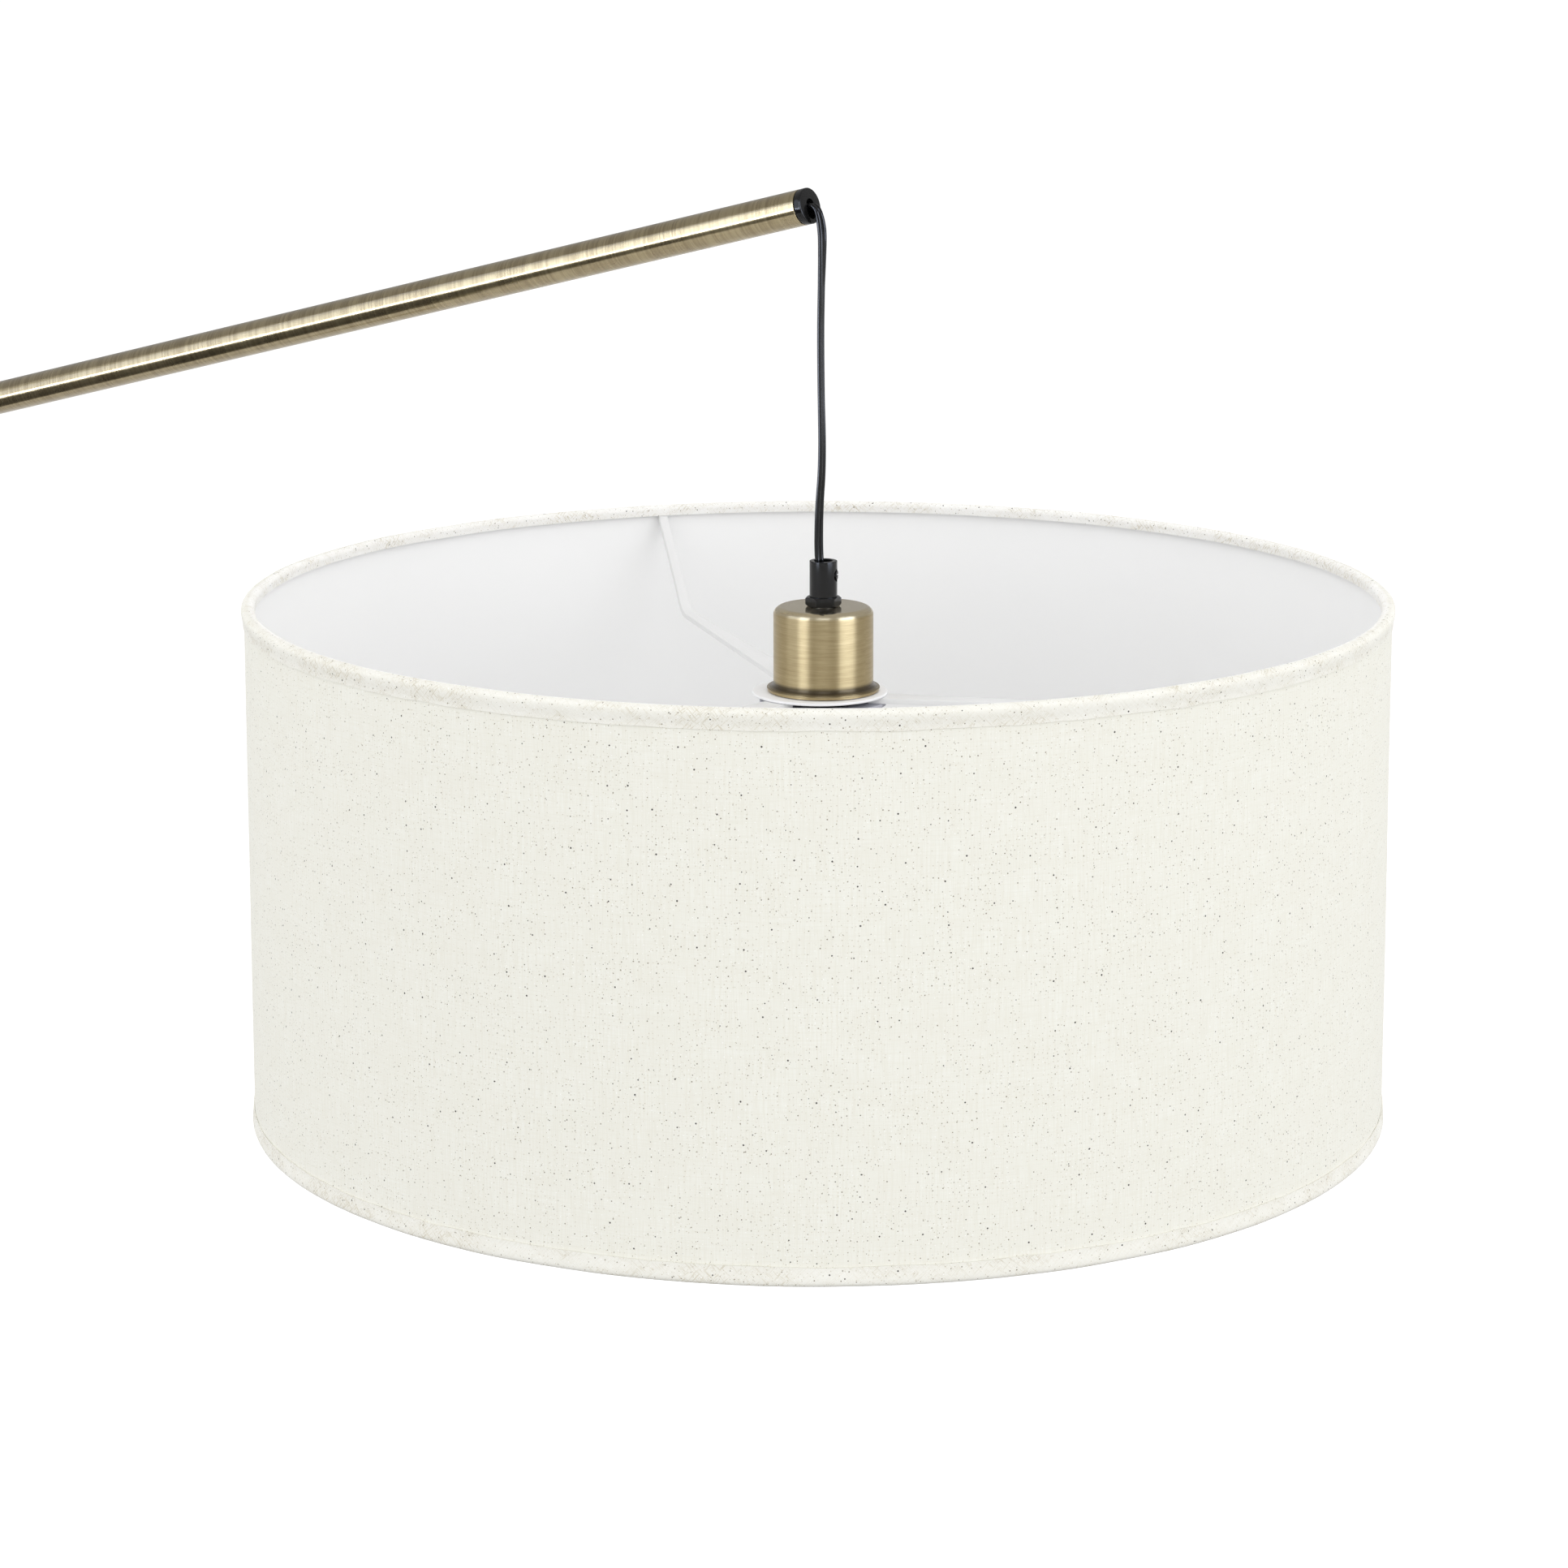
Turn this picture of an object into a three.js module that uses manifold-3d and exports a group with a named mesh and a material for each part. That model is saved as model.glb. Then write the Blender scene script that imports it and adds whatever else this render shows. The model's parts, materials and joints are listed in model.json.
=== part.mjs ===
// Adjustable floor lamp: a weighted round base and a vertical pole carry a long straight boom on a tilting
// and swivelling head, and a drum shade hangs on a flat flex from the boom's tip.
// Millimetres, +Z up. The origin is the centre of the base pad's underside, on the floor, and the boom runs
// along +X.
import * as THREE from "three";
import { mergeVertices } from "three/addons/utils/BufferGeometryUtils.js";
import Module from "manifold-3d";

const wasm = await Module();
wasm.setup();

// ---------------------------------------------------------------- driving dimensions

const INCH = 25.4;
const GAP = 0.3; // left between two pieces that touch

const SHADE_RADIUS = 10 * INCH; // over the trims
const SHADE_HEIGHT = 9.25 * INCH;
const SHADE_SIDES = 48;
const CLOTH = 0.6; // thickness of the fabric
const LINER = 0.5; // thickness of the styrene sheet
const TRIM = 0.5; // thickness of the bias tape
const LAYER_GAP = 0.2; // between the shade's layers
const TRIM_HEIGHT = 8;
const RING_WIRE = 1.3; // radius of the wire rings
const SHADE_SLIP = [-1.9, -1.3]; // the shade hangs this far off the lampholder's axis, in its loose ring hole

const HOLDER_DROP = 43.9; // top of the fitter disc below the shade's top rim
const DISC = { inner: 21.6, outer: 30.3, thick: 1.2 };
const ARM = { hubWidth: 12, kneeWidth: 5, tipWidth: 4, thick: 1.6, kneeRadius: 208 };
const ARM_ANGLES = [21.3, 141.3, 261.3]; // degrees from the boom's direction

const PIVOT_HEIGHT = 1560;
const BOOM_RISE = THREE.MathUtils.degToRad(14);
const BOOM_LENGTH = 930; // pivot to the face of the end cap
const TAIL_LENGTH = 356;
const BOOM_TUBE = { outer: 8, inner: 6.8 };
const CAP_FLANGE = 3.5; // of the two tube caps
const CAP_DEPTH = 16; // flange and plug together
const POLE_TUBE = { outer: 12.7, inner: 11.2 };
const POLE_SEAM = 762; // top of the lower pole
const POLE_SIDES = 20;

// The tilting head, in heights above its pivot and distances from the boom's plane.
const HEAD = { cheekIn: 13.8, cheekOut: 19.8, cheekRadius: 19, floor: -30, underside: -40, neckBottom: -50 };
const HUB = { barrel: 20, halfWidth: 12, socket: 12, reach: 44, tubeStart: 24 };
const BOLT_HOLE = 4.3;
const COUNTERWEIGHT = { radius: 28, rear: -345, front: -235 };

const BASE_RADIUS = 150;
const BASE_TOP = 25;
const COVER_SHEET = 1.4;
const PAD = { radius: 142, thick: 3 };
const BUTTON_PLACE = [-100, 14];
const CABLE_RADIUS = 1.8;
const CABLE_HEIGHT = 8.5; // of the cable where it comes in through the base
const FLEX = { halfWidth: 2.3, halfThick: 1.15 };

// Where the flex leaves the end cap, the lampholder's axis, and the plane of the shade's top rim.
const MOUTH_X = BOOM_LENGTH * Math.cos(BOOM_RISE);
const MOUTH_Z = PIVOT_HEIGHT + BOOM_LENGTH * Math.sin(BOOM_RISE);
const PENDANT_X = MOUTH_X + 6.8;
const RIM_Z = MOUTH_Z - 171.3;

// ---------------------------------------------------------------- finishes

const FINISHES = {
  antiqueBrass: { color: 0xa8986c, roughness: 0.32, metalness: 1 },
  brightBrass: { color: 0xc8a95a, roughness: 0.3, metalness: 1 },
  steel: { color: 0xa9abac, roughness: 0.4, metalness: 1 },
  castIron: { color: 0x3b3c3d, roughness: 0.8, metalness: 0.4 },
  blackPlastic: { color: 0x1b1b1d, roughness: 0.35, metalness: 0 },
  rubber: { color: 0x1c1c1c, roughness: 0.8, metalness: 0 },
  nylon: { color: 0xe4e2da, roughness: 0.6, metalness: 0 },
  whiteMetal: { color: 0xf0f0ee, roughness: 0.45, metalness: 0.1 },
  whitePlastic: { color: 0xeeeeee, roughness: 0.45, metalness: 0 },
  blackPvc: { color: 0x161617, roughness: 0.3, metalness: 0 },
  opal: { color: 0xf4f4f0, roughness: 0.3, metalness: 0 },
  styrene: { color: 0xe6e6e4, roughness: 0.8, metalness: 0 },
  linen: { color: 0xefeee4, roughness: 0.95, metalness: 0 },
};

// ---------------------------------------------------------------- geometry helpers

function solidOf(geometry) {
  const bare = geometry.index ? geometry.toNonIndexed() : geometry.clone();
  bare.deleteAttribute("normal");
  bare.deleteAttribute("uv");
  const merged = mergeVertices(bare, 1e-4);
  return new wasm.Manifold(
    new wasm.Mesh({
      numProp: 3,
      vertProperties: merged.attributes.position.array,
      triVerts: new Uint32Array(merged.index.array),
    }),
  );
}

function geometryOf(solid) {
  const mesh = solid.getMesh();
  const geometry = new THREE.BufferGeometry();
  geometry.setAttribute("position", new THREE.BufferAttribute(mesh.vertProperties, 3));
  geometry.setIndex(new THREE.BufferAttribute(mesh.triVerts, 1));
  geometry.computeVertexNormals();
  return geometry;
}

const cut = (body, ...tools) =>
  geometryOf(tools.reduce((left, tool) => left.subtract(solidOf(tool)), solidOf(body)));
const join = (body, ...others) =>
  geometryOf(others.reduce((sum, other) => sum.add(solidOf(other)), solidOf(body)));
const common = (a, b) => geometryOf(solidOf(a).intersect(solidOf(b)));

// A body turned about Z. The corners are [radius, z]; an outline that starts on the axis ends on it, and any
// other closes on itself. The order is put right, so either direction round the outline makes a solid.
function turned(corners, sides = 20) {
  const outline = corners.map(([radius, z]) => new THREE.Vector2(radius, z));
  if (THREE.ShapeUtils.area(outline) < 0) outline.reverse();
  if (corners[0][0] > 0) outline.push(outline[0].clone());
  return new THREE.LatheGeometry(outline, sides).rotateX(Math.PI / 2);
}

const rod = (radius, low, high, sides) =>
  turned([[0, low], [radius, low], [radius, high], [0, high]], sides);
const pipe = (outer, inner, low, high, sides) =>
  turned([[inner, low], [outer, low], [outer, high], [inner, high]], sides);

// A hexagon nut, by the radius of its corners, with a round bore.
const nut = (corner, bore, low, high) => cut(rod(corner, low, high, 6), rod(bore, low - 1, high + 1, 16));

// Turn a body made about Z so that its axis lies along +X or +Y.
const alongX = (geometry) => geometry.rotateY(Math.PI / 2);
const alongY = (geometry) => geometry.rotateX(-Math.PI / 2);

function block(x, y, z) {
  return new THREE.BoxGeometry(x[1] - x[0], y[1] - y[0], z[1] - z[0]).translate(
    (x[0] + x[1]) / 2,
    (y[0] + y[1]) / 2,
    (z[0] + z[1]) / 2,
  );
}

// Points on an arc, in an outline of [radius, z] corners; angles in degrees.
function arc(centreR, centreZ, radius, from, to, steps) {
  return Array.from({ length: steps + 1 }, (_, i) => {
    const angle = THREE.MathUtils.degToRad(from + ((to - from) * i) / steps);
    return [centreR + radius * Math.cos(angle), centreZ + radius * Math.sin(angle)];
  });
}

// A shape in X and Y given a thickness along Z, from z = low to high.
function plate(shape, low, high, curveSegments = 12) {
  const depth = high - low;
  return new THREE.ExtrudeGeometry(shape, { depth, bevelEnabled: false, curveSegments }).translate(0, 0, low);
}

function ovalSection(halfWidth, halfThick, sides) {
  const points = Array.from({ length: sides }, (_, i) => {
    const angle = ((i + 0.5) * 2 * Math.PI) / sides;
    return new THREE.Vector2(halfWidth * Math.cos(angle), halfThick * Math.sin(angle));
  });
  return new THREE.Shape(points);
}

function swept(section, curve, steps) {
  return new THREE.ExtrudeGeometry(section, { steps, extrudePath: curve, bevelEnabled: false });
}

// A smooth route in the XZ plane through [x, z] points.
function route(points) {
  return new THREE.CatmullRomCurve3(
    points.map(([x, z]) => new THREE.Vector3(x, 0, z)),
    false,
    "centripetal",
  );
}

// A round cable: a bent start, then one straight run from the bend's last point to end.
function cable(bendPoints, end, steps) {
  const section = ovalSection(CABLE_RADIUS, CABLE_RADIUS, 8);
  const [x, z] = bendPoints.at(-1);
  const straight = new THREE.LineCurve3(new THREE.Vector3(x, 0, z), new THREE.Vector3(end[0], 0, end[1]));
  return join(swept(section, route(bendPoints), steps), swept(section, straight, 1));
}

const lamp = new THREE.Group();
lamp.name = "floor_lamp";

function subgroup(parent, x, y, z) {
  const group = new THREE.Group();
  group.position.set(x, y, z);
  parent.add(group);
  return group;
}

function piece(parent, name, finish, geometry) {
  const mesh = new THREE.Mesh(geometry, new THREE.MeshStandardMaterial(FINISHES[finish]));
  mesh.name = name;
  parent.add(mesh);
  return mesh;
}

// ---------------------------------------------------------------- base

function buildBase() {
  const base = subgroup(lamp, 0, 0, 0);
  const [buttonX, buttonY] = BUTTON_PLACE;
  const weightTop = BASE_TOP - COVER_SHEET - GAP;
  const weightBottom = PAD.thick + GAP;
  const grooveTop = 14;
  const recessTop = 15.5;
  const washerTop = recessTop - GAP;

  piece(base, "base_pad", "rubber", rod(PAD.radius, 0, PAD.thick, 40));

  const disc = turned(
    [
      [6.3, weightBottom],
      [PAD.radius, weightBottom],
      [144.5, 6],
      [144.5, 19],
      [141, weightTop],
      [6.3, weightTop],
    ],
    40,
  );
  const nutRecess = rod(24, 0, recessTop, 16);
  const cableGroove = block([-BASE_RADIUS, 0], [-5, 5], [0, grooveTop]);
  const switchPocket = rod(15.6, 0, BASE_TOP, 16).translate(buttonX, buttonY, 0);
  piece(base, "base_weight", "castIron", cut(disc, nutRecess, cableGroove, switchPocket));

  // The cover: a spun sheet with a rounded shoulder, held off the floor by the pad.
  const rim = BASE_RADIUS - COVER_SHEET;
  const shoulder = 7;
  const shell = turned(
    [
      [6.6, BASE_TOP],
      ...arc(BASE_RADIUS - shoulder, BASE_TOP - shoulder, shoulder, 90, 0, 3),
      [BASE_RADIUS, 1.5],
      [rim, 1.5],
      ...arc(BASE_RADIUS - shoulder, BASE_TOP - shoulder, shoulder - COVER_SHEET, 0, 90, 3),
      [6.6, BASE_TOP - COVER_SHEET],
    ],
    40,
  );
  const buttonHole = rod(12.5, 0, 2 * BASE_TOP, 16).translate(buttonX, buttonY, 0);
  const glandHole = alongX(rod(5.4, -BASE_RADIUS - 5, -BASE_RADIUS + 10, 12)).translate(0, 0, CABLE_HEIGHT);
  piece(base, "base_cover", "antiqueBrass", cut(shell, buttonHole, glandHole));

  // The bush that the supply cable would come in through: a flange on each side of the cover's wall.
  const gland = turned(
    [
      [3.2, -BASE_RADIUS - 4],
      [6, -BASE_RADIUS - 4],
      [7.5, -BASE_RADIUS - 2.5],
      [7.5, -BASE_RADIUS - GAP],
      [4.9, -BASE_RADIUS - GAP],
      [4.9, -rim + 3 * GAP],
      [6.5, -rim + 3 * GAP],
      [6.5, -rim + 3 * GAP + 2],
      [3.2, -rim + 3 * GAP + 2],
    ],
    12,
  );
  piece(base, "cord_gland", "rubber", alongX(gland).translate(0, 0, CABLE_HEIGHT));

  const washerBottom = washerTop - 1.5;
  const nutTop = washerBottom - GAP;
  piece(base, "base_washer", "steel", pipe(20, 6.4, washerBottom, washerTop, 20));
  piece(base, "base_nut", "steel", nut(11, 6.3, nutTop - 4, nutTop));
  piece(base, "pole_stud", "steel", pipe(5.95, 3.6, 9, 58, 16));

  // The foot switch: a body in the pocket, and the return spring that the button stands on.
  const switchTop = 13.4;
  const body = block([buttonX - 12, buttonX + 12], [buttonY - 8.8, buttonY + 8.8], [weightBottom, switchTop]);
  piece(base, "switch_body", "blackPlastic", body);
  const coil = spring(6, 0.6, switchTop + GAP, 19, 3);
  piece(base, "switch_spring", "steel", coil.translate(buttonX, buttonY, 0));

  const button = turned(
    [
      [0, 19.6],
      [14, 19.6],
      [14, 22.4],
      [11.9, 22.4],
      [11.9, 28.6],
      [10.4, 30],
      [0, 30],
    ],
    16,
  );
  piece(base, "foot_button", "blackPlastic", button.translate(buttonX, buttonY, 0));
}

// A coil spring standing on Z, between low and high.
function spring(radius, wire, low, high, turns) {
  const bottom = low + wire;
  const rise = high - low - 2 * wire;
  class Helix extends THREE.Curve {
    getPoint(t) {
      const angle = 2 * Math.PI * turns * t;
      return new THREE.Vector3(radius * Math.cos(angle), radius * Math.sin(angle), bottom + rise * t);
    }
  }
  return swept(ovalSection(wire, wire, 5), new Helix(), 10 * turns);
}

// ---------------------------------------------------------------- pole

function buildPole() {
  const pole = subgroup(lamp, 0, 0, 0);
  const { outer, inner } = POLE_TUBE;
  const ringHeight = 4;
  const bushTop = PIVOT_HEIGHT - 51.6;
  const bushFlange = 5;
  const poleTop = bushTop - bushFlange - GAP;

  const collar = turned(
    [
      [outer + GAP, BASE_TOP + GAP],
      [27, BASE_TOP + GAP],
      [27, BASE_TOP + 3],
      ...arc(27, BASE_TOP + 14, 11, 270, 180, 3),
      [outer + GAP, BASE_TOP + 14],
    ],
    24,
  );
  piece(pole, "pole_collar", "antiqueBrass", collar);
  piece(pole, "pole_plug", "steel", pipe(inner - GAP, 6.3, BASE_TOP + 1, 56, 16));
  piece(pole, "lower_pole", "antiqueBrass", pipe(outer, inner, BASE_TOP + GAP, POLE_SEAM, POLE_SIDES));

  const seamTop = POLE_SEAM + GAP + ringHeight;
  const joiner = turned(
    [
      [7, POLE_SEAM - 27],
      [inner - GAP, POLE_SEAM - 27],
      [inner - GAP, POLE_SEAM + GAP],
      [outer, POLE_SEAM + GAP],
      [outer, seamTop],
      [inner - GAP, seamTop],
      [inner - GAP, seamTop + 27],
      [7, seamTop + 27],
    ],
    POLE_SIDES,
  );
  piece(pole, "pole_joiner", "brightBrass", joiner);
  piece(pole, "upper_pole", "antiqueBrass", pipe(outer, inner, seamTop + GAP, poleTop, POLE_SIDES));

  const bush = turned(
    [
      [6.2, poleTop - 25],
      [inner - GAP, poleTop - 25],
      [inner - GAP, poleTop + GAP],
      [outer, poleTop + GAP],
      [outer, bushTop],
      [6.2, bushTop],
    ],
    POLE_SIDES,
  );
  piece(pole, "pole_top_bush", "brightBrass", bush);

  // The cable comes in at the gland, turns up under the stud and runs up the pole into the head's stem.
  const lead = [
    [-145, CABLE_HEIGHT],
    [-120, CABLE_HEIGHT - 0.3],
    [-90, 7.2],
    [-60, 6],
    [-30, 5.2],
    [-14, 5.1],
    [-7, 5.2],
    [-2.3, 6.9],
    [-0.4, 10.5],
    [0, 15],
    [0, 20],
  ];
  piece(pole, "pole_cable", "blackPvc", cable(lead, [0, PIVOT_HEIGHT - 32], 34));
}

// ---------------------------------------------------------------- swivelling head

function buildHead() {
  const head = subgroup(lamp, 0, 0, PIVOT_HEIGHT);
  const { cheekIn, cheekOut, cheekRadius, floor, underside, neckBottom } = HEAD;
  const stemBottom = -100;

  // Two round-topped cheeks on a short neck, and the hollow stem that turns in the pole's bush.
  const outline = new THREE.Shape();
  outline.moveTo(-cheekRadius, underside);
  outline.lineTo(cheekRadius, underside);
  outline.lineTo(cheekRadius, 0);
  outline.absarc(0, 0, cheekRadius, 0, Math.PI, false);
  const slab = plate(outline, -cheekOut, cheekOut).rotateX(Math.PI / 2);
  const slot = block([-30, 30], [-cheekIn, cheekIn], [floor, 30]);
  const shaft = turned(
    [
      [0, stemBottom],
      [5.9, stemBottom],
      [5.9, neckBottom],
      [POLE_TUBE.outer, neckBottom],
      [POLE_TUBE.outer, underside - 3],
      [16, underside],
      [16, underside + 2],
      [0, underside + 2],
    ],
    20,
  );
  const boltHole = alongY(rod(BOLT_HOLE, -30, 30, 16));
  const wireWay = rod(4.2, stemBottom - 5, 0, 16);
  piece(head, "swivel_yoke", "antiqueBrass", cut(join(slab, shaft), slot, boltHole, wireWay));

  piece(head, "swivel_washer", "nylon", pipe(POLE_TUBE.outer, 6.2, neckBottom - 1.3, neckBottom - GAP, 16));
  piece(head, "swivel_nut", "steel", nut(10.5, 6.3, -92, -82.6));

  // The clamping bolt: its head on the +Y cheek, its thread in the knob on the -Y side.
  const bolt = turned(
    [
      [0, -37],
      [4, -37],
      [4, cheekOut + GAP],
      [8.5, cheekOut + GAP],
      [8.5, cheekOut + 4],
      [6, cheekOut + 6],
      [0, cheekOut + 6],
    ],
    16,
  );
  piece(head, "pivot_bolt", "brightBrass", alongY(bolt));
  for (const [side, low] of [["left", 12.3], ["right", -13.5]])
    piece(head, `friction_washer_${side}`, "nylon", alongY(pipe(17, BOLT_HOLE, low, low + 1.2, 16)));
  piece(head, "knob_washer", "steel", alongY(pipe(9, BOLT_HOLE, -cheekOut - 1.5, -cheekOut - GAP, 16)));

  piece(head, "tilt_knob", "blackPlastic", knob());
}

// A lobed hand knob on the bolt's threaded end, with a blind hole.
function knob() {
  const lobes = 8;
  const points = Array.from({ length: 6 * lobes }, (_, i) => {
    const angle = (2 * Math.PI * i) / (6 * lobes);
    const radius = 17 + 1.5 * Math.cos(lobes * angle);
    return new THREE.Vector2(radius * Math.cos(angle), radius * Math.sin(angle));
  });
  const grip = plate(new THREE.Shape(points), -42, -25);
  const boss = rod(9, -26, -21.6, 16);
  const threaded = rod(BOLT_HOLE, -38, -20, 16);
  return alongY(cut(join(grip, boss), threaded));
}

// ---------------------------------------------------------------- boom

function buildBoom() {
  const boom = subgroup(lamp, 0, 0, PIVOT_HEIGHT);
  boom.rotation.y = -BOOM_RISE;
  const { barrel, halfWidth, socket, reach, tubeStart } = HUB;
  const { outer, inner } = BOOM_TUBE;

  // The hub: a barrel between the yoke's cheeks with a socket for each tube, and a way for the cable
  // from its underside into the front tube.
  const drum = alongY(rod(barrel, -halfWidth, halfWidth, 24));
  const sockets = alongX(rod(socket, -reach, reach, 20));
  const boltHole = alongY(rod(BOLT_HOLE, -30, 30, 16));
  const tubeHoles = [
    alongX(rod(outer + GAP, tubeStart, reach + 1, 20)),
    alongX(rod(outer + GAP, -reach - 1, -tubeStart, 20)),
  ];
  const wireWay = alongX(rod(5, 3, tubeStart + 1, 16));
  const wireSlot = block([-5, 14], [-5, 5], [-barrel - 1, -3]);
  const screwHoles = [reach - 8, 8 - reach].map((x) => rod(2.3, 6, 14, 10).translate(x, 0, 0));
  piece(
    boom,
    "boom_hub",
    "antiqueBrass",
    cut(join(drum, sockets), boltHole, ...tubeHoles, wireWay, wireSlot, ...screwHoles),
  );
  for (const [name, x] of [["front", reach - 8], ["rear", 8 - reach]])
    piece(boom, `hub_screw_${name}`, "steel", rod(2, outer + GAP, 11.4, 8).translate(x, 0, 0));

  const tubeFace = BOOM_LENGTH - CAP_FLANGE - GAP;
  piece(boom, "boom_tube", "antiqueBrass", alongX(pipe(outer, inner, tubeStart + GAP, tubeFace, 20)));
  const tailFace = CAP_FLANGE + GAP - TAIL_LENGTH;
  piece(boom, "tail_tube", "antiqueBrass", alongX(pipe(outer, inner, tailFace, -tubeStart - GAP, 20)));

  // The black cap in the tip, with the long slot that the flex hangs out of.
  const cap = turned(
    [
      [0, BOOM_LENGTH - CAP_FLANGE],
      [5.2, BOOM_LENGTH - CAP_FLANGE],
      [5.2, BOOM_LENGTH - CAP_DEPTH],
      [inner - GAP, BOOM_LENGTH - CAP_DEPTH],
      [inner - GAP, BOOM_LENGTH - CAP_FLANGE],
      [outer, BOOM_LENGTH - CAP_FLANGE],
      [outer, BOOM_LENGTH - 0.5],
      [outer - 0.5, BOOM_LENGTH],
      [0, BOOM_LENGTH],
    ],
    20,
  );
  piece(boom, "end_cap", "blackPlastic", cut(alongX(cap), slotCutter(3, 3.2, -6)));

  const plug = turned(
    [
      [0, -TAIL_LENGTH],
      [outer - 1, -TAIL_LENGTH],
      [outer, 1 - TAIL_LENGTH],
      [outer, CAP_FLANGE - TAIL_LENGTH],
      [inner - GAP, CAP_FLANGE - TAIL_LENGTH],
      [inner - GAP, CAP_DEPTH - TAIL_LENGTH],
      [0, CAP_DEPTH - TAIL_LENGTH],
    ],
    20,
  );
  piece(boom, "tail_cap", "blackPlastic", alongX(plug));

  // The counterweight clamps round the tail with a grub screw from below.
  const { radius, rear, front } = COUNTERWEIGHT;
  const weight = turned(
    [
      [outer + GAP, rear],
      [radius - 3, rear],
      [radius, rear + 3],
      [radius, front - 3],
      [radius - 3, front],
      [outer + GAP, front],
    ],
    24,
  );
  const middle = (rear + front) / 2;
  const screwHole = rod(3.3, -30, -5, 12).translate(middle, 0, 0);
  piece(boom, "counterweight", "antiqueBrass", cut(alongX(weight), screwHole));
  piece(boom, "counterweight_screw", "steel", rod(3, -27, -outer - 0.4, 10).translate(middle, 0, 0));

  const bend = [
    [1, -17],
    [1, -12],
    [4, -7],
    [11, -3],
    [20, -0.8],
    [30, 0],
    [36, 0],
  ];
  piece(boom, "boom_cable", "blackPvc", cable(bend, [BOOM_LENGTH - 1, 0], 14));
}

// A slot with round ends through the end cap's flange, from z = top to bottom.
function slotCutter(halfWidth, top, bottom) {
  const outline = new THREE.Shape();
  outline.absarc(0, top - halfWidth, halfWidth, 0, Math.PI, false);
  outline.absarc(0, bottom + halfWidth, halfWidth, Math.PI, 2 * Math.PI, false);
  return plate(outline, 0, 8, 6)
    .rotateX(Math.PI / 2)
    .rotateZ(Math.PI / 2)
    .translate(BOOM_LENGTH - 6, 0, 0);
}

// ---------------------------------------------------------------- hanging flex

function buildFlex() {
  const flex = subgroup(lamp, MOUTH_X, 0, MOUTH_Z);
  const section = ovalSection(FLEX.halfWidth, FLEX.halfThick, 10);

  // Out of the cap's slot and over, then down to the cord grip. Points are [x, z] from the cap's face.
  const bend = [
    [0, 0],
    [1.6, 0],
    [3, -1],
    [4.1, -2.8],
    [5, -5.4],
    [5.7, -8.6],
    [6.1, -12],
    [6.2, -14],
  ];
  const hang = [
    [6.2, -14.7],
    [6.1, -22],
    [5.7, -36],
    [5.4, -55],
    [5.6, -80],
    [6.1, -105],
    [5.8, -118],
    [4.9, -130],
    [4.4, -142],
    [4.5, -154],
    [5.4, -163],
  ];
  piece(flex, "flex_bend", "blackPvc", swept(section, route(bend), 9));
  piece(flex, "pendant_flex", "blackPvc", swept(section, route(hang), 16));
}

// ---------------------------------------------------------------- lampholder and bulb

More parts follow.
